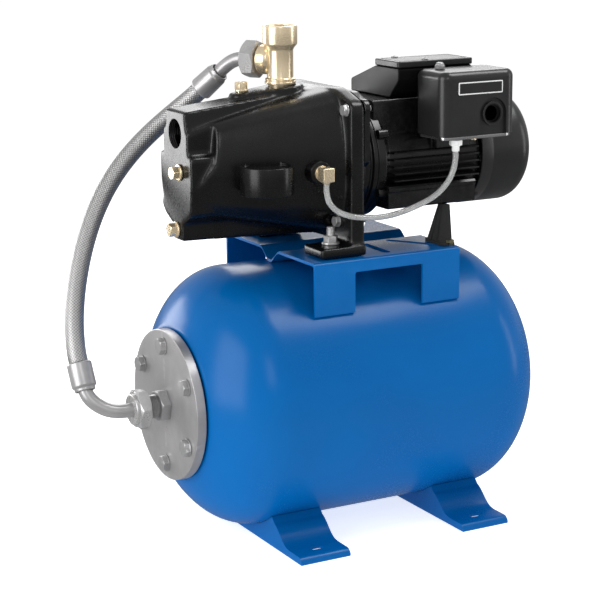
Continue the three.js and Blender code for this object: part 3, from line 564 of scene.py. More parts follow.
def weave(along, turn):
    """Height of the braid, from 0 in the gaps to 1 on a strand's crown."""
    a = STRANDS * (turn / tau + along / BRAID_PITCH)
    b = STRANDS * (turn / tau - along / BRAID_PITCH)
    over = a // 1 % 2 == b // 1 % 2
    strand, other = (a % 1, b % 1) if over else (b % 1, a % 1)
    ridge = sin(pi * strand) ** 0.6
    lift = 0.55 + 0.45 * sin(pi * other)
    return ridge * lift


def make_hose():
    depth = 0.55
    hose, path, length = tube(HOSE_ROUTE, HOSE_R, sides=144, step=0.62, angle=180, radius_at=lambda s,
        t: HOSE_R - depth + depth * weave(s, t))
    crown = hose.data.attributes.new("crown", "FLOAT", "POINT")
    count = len(path)
    per_ring = len(hose.data.vertices) // count
    crown.data.foreach_set("value",
        [weave(length * i / (count - 1), tau * k / per_ring) for i in range(count) for k in range(per_ring)])
    settle(hose, braid_material(), "braided_hose", name="hose_braid")
    place(*HOSE_ROUTE[-1])
    [place(*p) for p in reversed(path[::4] + path[-1:])]


SENSING_ROUTE = [(-64.5, -91, 381.7), (-64.5, -91, 374), (-61.5, -91.4, 362.5), (-52.5, -92.6, 353),
    (-37, -94.6, 346.4), (-17, -96.6, 343.4), (2, -98, 343.4), (21, -98, 346), (40, -98, 351),
    (58, -98.2, 357.8), (71, -98.6, 366.5), (80, -99, 377), (84.4, -99.6, 388), (86, -100, 398),
    (86, -100, 404.7)]


def make_sensing_tube():
    line, path, length = tube(SENSING_ROUTE, 3.0, sides=28, step=1.0, bore=1.9)
    settle(line, nylon, "sensing_tube", name="sensing_line")
    place(*SENSING_ROUTE[0])
    [place(*p) for p in path[::2] + path[-1:]]


make_hose()
make_sensing_tube()

# ---- stage


def white_shader(tree, kind, strength):
    return wire(tree, kind, kind, {"Color": (1, 1, 1), "Strength": strength})


def choose(tree, ray, first, second):
    """The first shader, or the second for one kind of ray."""
    is_ray = wire(tree, "LightPath", f"Is {ray} Ray", {})
    return wire(tree, "MixShader", "Shader", {"Fac": is_ray, 1: first, 2: second})


def make_stage():
    size = 9000
    floor = make([(x, y, -0.4) for x, y in rect(-size, -size, size, size)], [[0, 1, 2, 3]])
    floor.name = "floor"
    n = Nodes("floor_white")
    n.set(Base_Color=n.mix(n.noise(2, 2), (0.93, 0.93, 0.93), (0.90, 0.90, 0.90)), Roughness=0.75,
        Emission_Color=(1, 1, 1), Emission_Strength=0.7, Specular_IOR_Level=0.0)
    floor.data.materials.append(n.material)
    shown = choose(n.tree, "Glossy", n.shader.outputs["BSDF"], white_shader(n.tree, "Emission", 0.22))
    n.tree.links.new(shown, n.tree.nodes["Material Output"].inputs["Surface"])
    floor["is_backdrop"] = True


def area_light(name, spot, target, width, height, power):
    data = bpy.data.lights.new(name, "AREA")
    data.shape, data.size, data.size_y = "RECTANGLE", width, height
    data.energy = power
    light = new_object(name, data)
    aim = Vector(target) - Vector(spot)
    light.location = place(*spot)
    light.rotation_euler = aim.to_track_quat("-Z", "Y").to_euler()


def make_lights():
    centre = (0, 0, 280)
    area_light("top_box", (850, -400, 2000), centre, 0.9, 0.8, 18)
    area_light("left_box", (-1900, -300, 700), centre, 1.2, 1.8, 26)
    area_light("end_box", (-1000, 1900, 420), (-150, 0, 360), 0.9, 0.9, 16)
    area_light("front_box", (-900, -2200, 1500), centre, 0.6, 1.0, 6)
    area_light("right_strip", (1700, -900, 600), centre, 0.3, 1.4, 5)
    area_light("rim_box", (900, 1500, 1300), centre, 1.0, 1.0, 10)
    world = bpy.data.worlds.new("studio")
    bpy.context.scene.world = world
    world.use_nodes = True
    tree = world.node_tree
    soft = choose(tree, "Glossy", white_shader(tree, "Background", 0.36), white_shader(tree, "Background",
        0.55))
    seen = choose(tree, "Camera", soft, white_shader(tree, "Background", 1.0))
    tree.links.new(seen, tree.nodes["World Output"].inputs["Surface"])
    bpy.context.scene.view_settings.view_transform = "Standard"


make_stage()
make_lights()

# ---- fasteners


def hexagon(radius, start, end, chamfer=0.12, both=False, turn=0.0):
    """A hexagonal head or nut between two points, its corners chamfered at the end, or at both."""
    start, end = Vector(start), Vector(end)
    axis = (end - start).normalized()
    length = (end - start).length
    u, v = across(axis)
    corners = arc(0, 0, 1, 1, turn, turn + 300, 5)
    points = [p + (u * a + v * b) * radius for p in (start, end) for a, b in corners]
    faces = [[5, 4, 3, 2, 1, 0], [6, 7, 8, 9, 10, 11]]
    faces += [[i, (i + 1) % 6, 6 + (i + 1) % 6, 6 + i] for i in range(6)]
    head = make(points, faces)
    fall, flat, wide = radius * chamfer, radius * 0.86, radius * 1.02
    near = [(flat, 0), (wide, fall)] if both else [(radius * 1.05, 0)]
    keep(head, lathe([(0, 0), *near, (wide, length - fall), (flat, length), (0, length)], axis, start, 48))
    return bevel(head, 0.25, 2, 25)


def threads(radius, start, end, pitch, depth, segments=64):
    """A threaded stretch as a run of ridges."""
    start, end = Vector(start), Vector(end)
    length = (end - start).length
    profile = [(0, 0), (radius - depth, 0)]
    for i in range(int(length / pitch)):
        profile += [(radius - depth, (i + 0.15) * pitch), (radius, (i + 0.42) * pitch),
            (radius, (i + 0.58) * pitch), (radius - depth, (i + 0.85) * pitch)]
    profile += [(radius - depth, length), (0, length)]
    return lathe(profile, end - start, start, segments, 50)


# ---- tank


def make_tank():
    """Two deep-drawn halves: straight wall, elliptical domes and the collar under the flange."""
    mouth, face = 45, low("tank_shell").x
    wall = 2.5
    collar = 82.5
    start = degrees(acos(collar / TANK_R))
    outer = [(mouth, face), (collar - 4, face)]
    outer += [(r, x) for r, x in arc(0, -TANK_HALF, TANK_R, -DOME, start, 0, 26)]
    outer += [(TANK_R, x) for x in (-90, -45, 0, 45, 90)]
    outer += arc(0, TANK_HALF, TANK_R, DOME, 0, degrees(acos(6 / TANK_R)), 34)
    inner_r, inner_dome = TANK_R - wall, DOME - wall
    inner = arc(0, TANK_HALF, inner_r, inner_dome, degrees(acos(6 / inner_r)), 0, 16)
    back = face + 6
    reach = inner_r * sqrt(1 - ((-TANK_HALF - back) / inner_dome) ** 2)
    inner += arc(0, -TANK_HALF, inner_r, -inner_dome, 0, degrees(acos(reach / inner_r)), 12)
    shell = lathe(outer + inner + [(mouth, back)], X, (0, 0, TANK_Z), 160, 40)
    settle(shell, blue_paint, "tank_shell")


FLANGE_FRONT = low("tank_flange").x
FLANGE_BACK = high("tank_flange").x


def make_flange():
    radius = (high("tank_flange").z - low("tank_flange").z) / 2
    bore = 13
    profile = rounded([(bore, FLANGE_BACK), (radius, FLANGE_BACK), (radius, FLANGE_FRONT + 0.2),
        (radius - 0.8, FLANGE_FRONT), (bore, FLANGE_FRONT)], 0.9)
    disc = lathe(profile, X, (0, 0, TANK_Z), 128, 25)
    bolts = [f"flange_bolt_{i + 1}" for i in range(6)]
    cut(disc, *[rod_x(5.1, FLANGE_FRONT - 5, FLANGE_BACK + 5, *middle(bolt).yz, 28) for bolt in bolts])
    shade(disc.data, 30)
    flatten(disc)
    settle(disc, satin_zinc, "tank_flange")
    seat = FLANGE_FRONT - 0.3
    for i, name in enumerate(bolts):
        c, left, right = middle(name), low(name).x, high(name).x
        head = hexagon(8.8, (seat - 0.6, c.y, c.z), (left, c.y, c.z), turn=12 + 31 * i)
        join(head, rod_x(9.4, seat, seat - 0.9, c.y, c.z, 40, 0.2), rod_x(4.8, seat - 0.1, right, c.y, c.z,
            24))
        settle(head, dark_zinc, name, angle=30)


make_tank()
make_flange()

# ---- feet and platform

FOOT_X, FOOT_Y = 84.5, -72  # middle of the motor's foot
SCREW = (FOOT_X + 2, FOOT_Y - 18.5)  # its screw
BOLT_X, BOLT_Y = -47, 68  # the bolt through each foot of the casing
FOOT_HALF, FOOT_TOE, FOOT_PAD, FOOT_SHEET = 29, 146.8, 7.5, 2.6


def skin(y):
    """Height of the tank's underside at a distance y from its middle."""
    return TANK_Z - sqrt((TANK_R + 0.3) ** 2 - y ** 2)


def make_foot(node):
    """A pressed channel: sloping top, side walls folded down, a slotted pad at each toe."""
    centre = middle(node).x
    half = FOOT_HALF
    crown = [(FOOT_TOE, 0), (FOOT_TOE, 3), (FOOT_TOE - 4, FOOT_PAD), (119, FOOT_PAD), (111, 9.2), (104, 14.2),
        (98, 20), (92, 25), (87, 27.5)]
    cradle = [(y, skin(y)) for y in (82, 74, 66, 58, 50, 42, 34, 26, 18, 9, 0)]
    top = rounded(crown, 4.5, closed=False, steps=4) + cradle
    section = top + [(-y, z) for y, z in reversed(top[:-1])]
    foot = prism(section, "X", centre - half, centre + half)
    for side in (1, -1):
        inner = [(FOOT_TOE - FOOT_SHEET, -1), (FOOT_TOE - FOOT_SHEET - 2, FOOT_PAD - FOOT_SHEET),
            (115, FOOT_PAD - FOOT_SHEET), (109, 7.2), (103, 11.2), (90, 22), (78, 23.6),
            (55, skin(55) - FOOT_SHEET), (34, skin(34) - FOOT_SHEET), (34, -1)]
        hollow = prism([(side * y, z) for y, z in inner], "X", centre - half + FOOT_SHEET,
            centre + half - FOOT_SHEET)
        slot = rounded(rect(centre - 7.1, side * 126 - 3.6, centre + 7.1, side * 126 + 3.6), 3.5, steps=5)
        cut(foot, hollow, prism(slot, "Z", -1, 12))
    bevel(foot, 0.9, 3, 35)
    settle(foot, blue_paint, node)


def slot_outline(start, end, half):
    """A round-ended slot between two points, as (x, y)."""
    start, end = Vector(start), Vector(end)
    heading = degrees(atan2(end.y - start.y, end.x - start.x))
    return (arc(end.x, end.y, half, half, heading - 90, heading + 90, 6) + arc(start.x, start.y, half, half,
        heading + 90, heading + 270, 6))


GROOVE_Y = -2  # middle of the platform's pressed groove


def make_platform():
    half, top, sheet = 102, PLATFORM_TOP, 3
    left, right = low("pump_platform").x, high("pump_platform").x
    skirt = low("pump_platform").z
    over = [(half, skirt), (half, top), (21, top), (17, top - 2.5), (6.5, 291.4), (3.5, 290.2)]
    under = [(half - sheet, skirt), (half - sheet, top - sheet), (19.5, top - sheet),
        (14.5, top - sheet - 2.5), (4.5, 287.8), (2.5, 287.2)]
    over = rounded(over, 4.5, closed=False, steps=4)
    under = rounded(under, 2.5, closed=False, steps=4)
    loop = over + [(-y, z) for y, z in reversed(over)] + [(-y, z) for y, z in under] + under[::-1]
    loop = [(y + GROOVE_Y if abs(y) < half / 2 else y, z) for y, z in loop]
    sheet_metal = prism(loop, "X", left, right)
    for side in (1, -1):
        window = rounded([(-37.1, skirt - 5), (-37.1, 289.2), (45, 289.2), (45, skirt - 5)], 2.5)
        cut(sheet_metal, prism(window, "Y", min(side * 60, side * 110), max(side * 60, side * 110)))
        for start, end in (((46, 33), (80, 84)), ((12, 38), (11, 84))):
            outline = slot_outline((start[0], start[1] * side), (end[0], end[1] * side), 4.5)
            cut(sheet_metal, prism(outline, "Z", top - 8, top + 5))
        cut(sheet_metal, rod_z(5.5, top - 8, top + 5, BOLT_X, BOLT_Y * side, 24))
    cut(sheet_metal, rod_z(3.5, top - 8, top + 5, *SCREW, 24))
    bevel(sheet_metal, 0.5, 2, 40)
    settle(sheet_metal, blue_paint, "pump_platform")


make_foot("tank_foot_left")
make_foot("tank_foot_right")
make_platform()

# ---- hose ends

TUBE_R, TUBE_BORE = 7.5, 4.8
TEE_X = -68.3
PORT = Vector((-0.5506, 0.8348, 0)).normalized()
PORT_Z = 500.5


def from_port(distance, height=PORT_Z):
    return Vector((TEE_X, 0, height)) + PORT * distance


def make_ferrule(node, start, end, near, far):
    """A plain satin sleeve, a little wider at one end, with a collar at the tube and a rolled lip."""
    start, end = Vector(start), Vector(end)
    length, socket = (end - start).length, TUBE_R + 1.6
    profile = [(socket, 0), (10.4, 0), (10.9, 0.6), (10.9, 3.2), (near - 0.7, 4.4), (near, 5.4),
        (far, length - 1.2), (far - 0.6, length), (11, length), (10.6, length - 1), (TUBE_BORE, length - 1),
        (TUBE_BORE, 14), (socket, 13)]
    sleeve = lathe(rounded(profile, 0.7, steps=3), end - start, start, 96, 40)
    settle(sleeve, satin_zinc, node)


def make_lower_end():
    seat, axis = -238, (0, TANK_Z)
    nipple = rod_x(12.7, FLANGE_FRONT - 0.3, FLANGE_BACK - 1, *axis, 48)
    join(nipple, hexagon(17.8, (FLANGE_FRONT - 0.3, *axis), (-220.5, *axis), turn=14),
        threads(12.4, (-220.4, *axis), (seat, *axis), 1.8, 1.1))
    cut(nipple, rod_x(8.5, -250, -190, *axis, 40))
    settle(nipple, dark_zinc, "flange_nipple", angle=32)
    nut = hexagon(21.8, (-232.5, *axis), (-245, *axis), both=True, turn=8)
    join(nut, rod_x(16.5, -244.5, -248.5, *axis, 56, 1.3))
    cut(nut, rod_x(12.7, -230, -240.8, *axis, 48), rod_x(TUBE_R + 0.3, -238, -260, *axis, 40))
    settle(nut, zinc, "hose_nut_lower", body="hose_nut_lower_body", angle=30)
    route = [(seat - 0.3, 0, 146.8), (-252, 0, 146.8), (-264, 0.4, 147.6), (-275, 2.4, 150.6), (-284, 6, 156),
        (-290.3, 10.2, 162.6), (-293.2, 14.6, 170.1), (-293.6, 18.9, 179.2)]
    elbow, _, _ = tube(route, TUBE_R, sides=48, step=1.4, bore=TUBE_BORE)
    settle(elbow, satin_zinc, "hose_elbow_lower")
    make_ferrule("hose_ferrule_lower", (-293.2, 14.6, 170.1), (-294.3, 27.4, 197.2), 13, 13)


def make_upper_end():
    route = [from_port(31.6), from_port(40), from_port(50, PORT_Z - 0.6), from_port(59, PORT_Z - 3.9),
        from_port(66.5, PORT_Z - 8.8), (-108.8, 61.4, 485.8), (-113, 66.8, 479.9)]
    elbow, _, _ = tube(route, TUBE_R, sides=40, step=1.6, bore=TUBE_BORE)
    settle(elbow, satin_zinc, "hose_elbow_upper")
    nut = hexagon(20.4, from_port(24.4), from_port(40.5), both=True, turn=20)
    cut(nut, rod(12.6, from_port(20), from_port(33.9), 48), rod(TUBE_R + 0.3, from_port(30), from_port(45),
        40))
    settle(nut, zinc, "hose_nut_upper", body="hose_nut_upper_body", angle=30)
    make_ferrule("hose_ferrule_upper", (-108.8, 61.4, 485.8), (-123.2, 79.9, 465.6), 12.2, 13)


def make_tee():
    """Polished brass: a ringed base, a plain tube, a socket with a thread and a round side branch."""
    base, top = 476.2, high("discharge_tee").z
    floor = low("discharge_tee").z
    profile = [(10, floor), (12.9, floor), (12.9, base), (16.4, base), (16.4, base + 2.6), (14.9, base + 3.4),
        (16.1, base + 4.2), (16.1, base + 5.4), (13.8, base + 6.4), (13.8, 511.5), (15.2, 514), (18.2, 517.5),
        (18.2, top - 1), (17.6, top), (15.6, top)]
    depth = top - 1
    while depth > 519:
        profile += [(15.4, depth), (14.7, depth - 0.9)]
        depth -= 1.8
    profile += [(14.9, 516), (10, 514)]
    tee = lathe(rounded(profile, 0.5, steps=2), Z, (TEE_X, 0, 0), 96, 30)
    branch = lathe(rounded([(0, 6), (13, 8), (15.4, 12), (15.4, 22.5), (13.4, 24), (11.8, 24.2), (11.8, 31),
        (0, 31)], 2.4, closed=False, steps=4), PORT, from_port(0), 72, 30)
    join(tee, branch)
    cut(tee, rod_z(10, 460, 530, TEE_X, 0, 64), rod(7, from_port(0), from_port(40), 40))
    settle(tee, brass, "discharge_tee", angle=28)


def make_plug(node, seat, out, head, body, turn):
    """A brass pipe plug: chamfered hexagon on a round flange."""
    seat, out = Vector(seat), Vector(out)
    plug = hexagon(head, seat + out * 1.8, seat + out * 9.8, chamfer=0.16, turn=turn)
    join(plug, rod(head * 1.18, seat + out * 0.3, seat + out * 2.3, 48, 0.5), rod(5.6, seat - out * 9,
        seat + out, 32))
    settle(plug, brass, node, body=body, angle=30)


make_lower_end()
make_upper_end()
make_tee()
make_plug("priming_plug", (-114.5, 0, 470.8), (0, 0, 1), 6.8, "priming_plug_body", 15)
make_plug("gauge_port_plug", (-191, -9.5, 393.5), (-1, 0, 0), 7.2, "gauge_plug_body", 8)
make_plug("drain_plug", (-191, 0, 332.7), (-1, 0, 0), 7.2, "drain_plug_body", 33)

# ---- pump casing

CASING_LEFT, CASING_PLATE, CASING_RIGHT = -191, -33, -17
CASING_HALF = 88
CHAMBER_LEFT = -143
SUCTION_Z, SUCTION_BORE, SUCTION_DEEP = 432.4, 16, 40
GAUGE_Y, GAUGE_Z, DRAIN_Z = -9.5, 393.5, 332.7
PLUG_X, PLUG_PAD, TEE_PAD = -114.5, 470, 474.4
CUP_X, CUP_Y, CUP_TOP = -122.8, -72, 403.2
LINE_X, LINE_Y = -64.5, -91
CASING_BOLTS = [(-78, 454), (78, 454), (-60, 336), (60, 336)]
BODY_SECTION = [(22, 82), (50, 80), (63, 72), (71, 54), (76, 28), (77, 0), (75, -28), (67, -50), (52, -64),
    (26, -71)]


def whole(half):
    """A right half of an outline, with its mirror image."""
    return half + [(-y, z) for y, z in reversed(half)]


def casing_top(x):
    return 456 + 0.105 * (x - CASING_LEFT)


def barrel(scale, start, end, steps):
    """The casing's body, growing from the jet end to the rear plate, faster sideways than upwards."""
    section = rounded(whole([(y * scale, z * scale) for y, z in BODY_SECTION]), 14, steps=4)
    rings = []
    for i in range(steps + 1):
        x = start + (end - start) * i / steps
        back = (CASING_PLATE - x) / (CASING_PLATE - CASING_LEFT)
        rings.append([(x, y * (1 - 0.5 * back), SHAFT_Z + z * (1 - 0.42 * back)) for y, z in section])
    return loft(rings)


def beside(side, near, outline):
    """Everything on one side of the casing beyond a distance, inside an (x, z) outline."""
    return prism(outline, "Y", *sorted((side * near, side * 100)))


def port_pad():
    ends = arc(TEE_X, 0, 24, 24, -80, 80, 16) + arc(PLUG_X, 0, 13, 13, 100, 260, 12)
    slope = (TEE_PAD - PLUG_PAD) / (TEE_X - PLUG_X)
    pad = prism(ends, "Z", 450, 480)
    ramp = [(x, PLUG_PAD + slope * (x - PLUG_X)) for x in (-140, -20)]
    cut(pad, prism(ramp + [(-20, 500), (-140, 500)], "Y", -40, 40))
    return pad


def make_casing():
    body = barrel(1, CASING_LEFT, CASING_PLATE + 1, 24)
    for side in (1, -1):
        cut(body, beside(side, 30, [(-200, 411), (-165.6, 411), (-161, 450), (-161, 485), (-200, 485)]),
            beside(side, 38.4, [(-200, 366), (-190, 371), (-166, 406), (-165.6, 411.2), (-200, 411.2)]))
    bar = prism([(26, 411), (20.6, 480), (-20.6, 480), (-29.4, 411)], "X", CASING_LEFT, CASING_PLATE)
    roof = [(x, casing_top(x)) for x in (CASING_LEFT - 5, CASING_PLATE + 5)]
    cut(bar, prism(roof + [(CASING_PLATE + 5, 500), (CASING_LEFT - 5, 500)], "Y", -40, 40))
    jet_end = [(14, 412), (16.6, 405), (27, 380), (38, 355.7), (29.7, 346.3), (12, 337), (-14, 340),
        (-35, 351.3), (-38.2, 380), (-38.2, 411.5), (-27, 412.5)]
    plate = whole([(28, casing_top(CASING_PLATE) + 1), (48, 474.5), (CASING_HALF, 461), (CASING_HALF, 303.2),
        (52, 303.2), (44, 314)])
    join(body, bar, prism(rounded(jet_end, 4), "X", CASING_LEFT, -140),
        prism([(CASING_LEFT, 322), (CASING_LEFT, 346), (CASING_PLATE, 346), (CASING_PLATE, 316)], "Y", -14,
        10), prism(rounded(plate, 9), "X", CASING_PLATE, CASING_RIGHT), port_pad())
    for side in (1, -1):
        near, far = sorted((side * 50, side * 92))
        join(body, block((-70, near, 302.7), (CASING_RIGHT, far, 314)))
    cut(body, *[rod_x(8, CASING_PLATE - 14, CASING_PLATE, y, z, 32) for y, z in CASING_BOLTS])
    cast(body, 1.4, 24)
    cut(body, block((CASING_RIGHT, -120, 290), (CASING_RIGHT + 20, 120, 500)), block((-100, -120, 290),
        (CASING_RIGHT + 1, 120, 302.7)), block((CASING_LEFT - 20, -80, 300), (CASING_LEFT, 80, 500)))
    boss = lathe(rounded([(0, 374), (27.5, 374), (27.5, CUP_TOP), (24.5, CUP_TOP), (24.5, CUP_TOP - 3.5),
        (0, CUP_TOP - 3.5)], 1.1, closed=False), Z, (CUP_X, CUP_Y, 0), 96, 30)
    filled = block((CUP_X - 30, -53, 380), (CUP_X + 30, -30, CUP_TOP - 0.6))
    keep(filled, rod_z(26.6, 370, 410, CUP_X, CUP_Y, 64))
    line_pad = rod_y(12, -80, -54, LINE_X, SHAFT_Z, 48, 1.2)
    join(body, boss, filled, line_pad)
    cut(body, barrel(0.9, CHAMBER_LEFT, CASING_RIGHT + 1, 16), block((CASING_LEFT + 8, -16, 372),
        (CHAMBER_LEFT - 8, 16, SUCTION_Z + 8)), rod_x(16.3, CHAMBER_LEFT - 17, CHAMBER_LEFT + 8, 0, SHAFT_Z,
        48), block((CASING_LEFT + 20, -5, DRAIN_Z - 6), (-110, 5, DRAIN_Z + 7)),
        block((-130, -5, DRAIN_Z - 4), (-108, 5, DRAIN_Z + 20)))
    cut(body, threads(SUCTION_BORE + 0.6, (CASING_LEFT - 2, 0, SUCTION_Z), (CASING_LEFT + SUCTION_DEEP, 0,
        SUCTION_Z), 2.2, 1.2), rod_x(6, CASING_LEFT - 3, CASING_LEFT + 20, GAUGE_Y, GAUGE_Z, 32),
        rod_x(6, CASING_LEFT - 3, CASING_LEFT + 24, 0, DRAIN_Z, 32), rod_z(13.3, 440, 490, TEE_X, 0, 64),
        rod_z(6, 440, 490, PLUG_X, 0, 32), rod_y(4.6, -90, -56, LINE_X, SHAFT_Z, 32))
    for side in (1, -1):
        cut(body, rod_z(5.3, 298, 320, BOLT_X, BOLT_Y * side, 28))
    cut(body, *[rod_x(4.3, CASING_PLATE - 5, CASING_RIGHT + 5, y, z, 24) for y, z in CASING_BOLTS])
    settle(body, black_cast, "pump_casing", angle=65)


def make_casing_bolts():
    for i, (y, z) in enumerate(CASING_BOLTS):
        name = f"casing_bolt_{i + 1}"
        seat = CASING_PLATE - 0.3
        bolt = hexagon(5.9, (seat - 1.2, y, z), (seat - 5.3, y, z), turn=23 * i + 9)
        join(bolt, rod_x(6.4, seat, seat - 1.3, y, z, 40, 0.3), rod(3.9, (seat - 0.5, y, z),
            (high(name).x, y, z), 28))
        settle(bolt, dark_zinc, name, angle=30)
    for i, side in enumerate((-1, 1)):
        name = f"foot_bolt_{i + 1}"
        x, y = BOLT_X, BOLT_Y * side
        nut = hexagon(7.6, (x, y, 316.2), (x, y, 323.4), both=True, turn=17 + 20 * i)
        join(nut, rod_z(9.6, 314.3, 316.4, x, y, 48, 0.3), threads(4.6, (x, y, low(name).z),
            (x, y, high(name).z), 1.3, 0.6, segments=32))
        settle(nut, zinc, name, angle=30)


make_casing()
make_casing_bolts()

# ---- bracket and motor

MOTOR_LEFT, MOTOR_RIGHT, MOTOR_R, MOTOR_BORE = 14.3, 146, 55, 50.3
FIN_TIP, FIN_FIRST, FIN_STEP = 63, 371.5, 7.5
FAN_LEFT, FAN_SHOULDER, FAN_RIGHT, FAN_R, FAN_CORNER, FAN_WALL = 147, 198, 217, 61.4, 18, 2
ON_SHAFT = (0, 0, SHAFT_Z)


def make_bracket():
    """The adapter between pump and motor: a plate with four lobes, and a grooved neck."""
    left, face, right = -16.7, -10, 14
    plate = rod_x(78, left, face, 0, SHAFT_Z, 96, 2)
    corner = whole([(60, 470), (86, 460), (86, 400), (60, 380)])
    join(plate, prism(rounded(corner, 3), "X", left, face))
    for y, z in CASING_BOLTS:
        join(plate, rod_x(10, left, face, y, z, 40, 1.2))
    bevel(plate, 0.8, 3, 40)
    neck = lathe(rounded([(10, left), (58, left), (58, face), (59.5, -4.6), (61.4, -2.4), (62, 2), (62, 4.5),
        (60.4, 6), (60.4, 8), (63, 9.4), (64, right), (50, right), (44, 0), (26, -2), (26, right),
        (20.3, right), (20.3, -1), (10, -3)], 0.8), X, ON_SHAFT, 128, 30)
    join(plate, neck)
    cut(plate, rod_x(9, left - 1, 0, 0, SHAFT_Z, 48))
    cut(plate, *[rod_x(4.3, left - 2, face + 6, y, z, 24) for y, z in CASING_BOLTS])
    settle(plate, black_enamel, "motor_bracket", angle=32)


def make_housing():
    """Finned barrel with a front shield, a foot ledge along each side and a seat for the wiring box."""
    shell = lathe(rounded([(MOTOR_BORE, MOTOR_LEFT), (64, MOTOR_LEFT), (64, 24), (58, 30), (MOTOR_R, 32),
        (MOTOR_R, MOTOR_RIGHT), (20.3, MOTOR_RIGHT), (20.3, 127), (34, 127), (34, 136), (MOTOR_BORE, 136)],
        1.2), X, ON_SHAFT, 128, 30)
    ledge = whole([(48, 367.6), (68, 367.6), (70, 365.6), (70, 362.4), (68.6, 361), (68.6, 345.4),
        (66.8, 343.6)])
    parts = [prism(ledge, "X", 23, 132), prism(whole([(43, 456.7), (46, 453), (46, 415)]), "X", 18, 134),
        block((84, -55, 402), (134, -40, 418))]
    for side in (1, -1):
        for i, shy in enumerate((0, 0, 0, 0.5, 1.2)):
            z, reach = FIN_FIRST + FIN_STEP * i, FIN_TIP - shy
            fin = [(side * 40, z - 2), (side * reach, z - 0.9), (side * (reach + 0.5), z),
                (side * reach, z + 0.9), (side * 40, z + 2)]
            parts.append(prism(fin, "X", 34, 141))
    join(shell, *parts, *[rod_x(5, 15, 27, y, z, 32, 0.8) for y in (58, -58) for z in (423, 360)])
    cut(shell, rod_x(MOTOR_BORE, MOTOR_LEFT - 1, 136, 0, SHAFT_Z, 96), rod_z(9, 425, 460, 88, 0, 32))
    join(shell, lathe(rect(20.3, 127, 34, 136.2), X, ON_SHAFT, 64))
    cut(shell, rod_x(20.3, 120, MOTOR_RIGHT + 1, 0, SHAFT_Z, 64))
    bevel(shell, 0.4, 2, 40)
    settle(shell, black_enamel, "motor_housing")


def make_fan_cover():
    """A drawn cup over the fan, with a rolled shoulder, a lip at its open end and slots in its back."""
    inner = FAN_R - FAN_WALL
    outer = arc(FAN_R - FAN_CORNER, FAN_SHOULDER, FAN_CORNER, FAN_RIGHT - FAN_SHOULDER, 0, 80, 14)
    inside = arc(FAN_R - FAN_CORNER, FAN_SHOULDER, FAN_CORNER - FAN_WALL, FAN_RIGHT - FAN_SHOULDER - FAN_WALL,
        80, 0, 12)
    profile = [(FAN_R - 0.5, FAN_LEFT), (FAN_R, FAN_LEFT + 0.5), (FAN_R, 160), (FAN_R - 0.4, 161.2),
        (FAN_R - 0.4, 163), (FAN_R, 164.2), *outer, (8, FAN_RIGHT), (8, FAN_RIGHT - FAN_WALL), *inside,
        (inner, FAN_LEFT)]
    cover = lathe(profile, X, ON_SHAFT, 144, 35)
    count = 10
    for i in range(count):
        turn = tau * i / count
        u, v = Vector((0, cos(turn), sin(turn))), Vector((0, -sin(turn), cos(turn)))
        outline = slot_outline((16, 0), (36, 0), 2.4)
        slot = [Vector(ON_SHAFT) + u * a + v * b for a, b in outline]
        cut(cover, loft([[p + X * x for p in slot] for x in (FAN_RIGHT - 9, FAN_RIGHT + 4)]))
    for turn in (50, 130, 230, 310):
        spot = Vector((0, cos(radians(turn)), sin(radians(turn))))
        seat = Vector(ON_SHAFT) + X * 153 + spot * (FAN_R - 1)
        join(cover, lathe(rounded([(0, 0), (3.4, 0), (3.4, 1.6), (2.4, 2.6), (0, 2.8)], 0.5, closed=False),
            spot, seat, 32))
    settle(cover, black_satin, "fan_cover", angle=35)


def make_motor_foot():
    """The fluted rubber post under the motor, wider at its base, and its screw in the platform."""
    base, top = PLATFORM_TOP + 0.3, high("motor_foot").z
    x, y = FOOT_X, FOOT_Y
    flank = [(1, -1), (1, -0.45), (0.8, -0.36), (1, -0.27), (1, 0.27), (0.8, 0.36), (1, 0.45)]
    ring = flank + [(-a, -b) for a, b in flank]
    rings = []
    steps = 16
    for i in range(steps + 1):
        rise = i / steps
        half_x, half_y = 7 - 3.4 * rise, 15.5 - 9 * rise
        outline = rounded([(x + 9 * rise + half_x * a, y + 5 * rise + half_y * b) for a, b in ring], 1)
        rings.append([(a, b, base + (top - base) * rise) for a, b in outline])
    post = loft(rings, 40)
    sole = rounded(rect(x - 8, y - 21, x + 7, y + 17), 2.5)
    join(post, prism(sole, "Z", base, base + 3))
    bevel(post, 0.4, 2, 50)
    cut(post, rod_z(3.4, base - 2, base + 8, *SCREW, 24))
    settle(post, rubber, "motor_foot")
    screw = hexagon(4.6, (*SCREW, base + 3), (*SCREW, base + 6), turn=20)
    join(screw, rod_z(3.1, low("motor_foot").z, base + 4, *SCREW, 24))
    settle(screw, yellow_zinc, name="motor_foot_screw", angle=30)


make_bracket()
make_housing()
make_fan_cover()
make_motor_foot()

# ---- wiring box

BOX_LEFT, BOX_RIGHT, BOX_FRONT, BOX_BACK, BOX_BOTTOM, BOX_TOP = 46, 138, -50.5, 50, 457, 489.2
LID_TOP = 496.5


def lid_layer(inset, radius, steps, bottom, top):
    """A slice of the lid's outline, drawn in by a distance."""
    plan = rect(BOX_LEFT - 1 + inset, BOX_FRONT - 1.5 + inset, BOX_RIGHT + 1 - inset, -1.5 - inset)
    return prism(rounded(plan, radius, steps=steps), "Z", bottom, top)


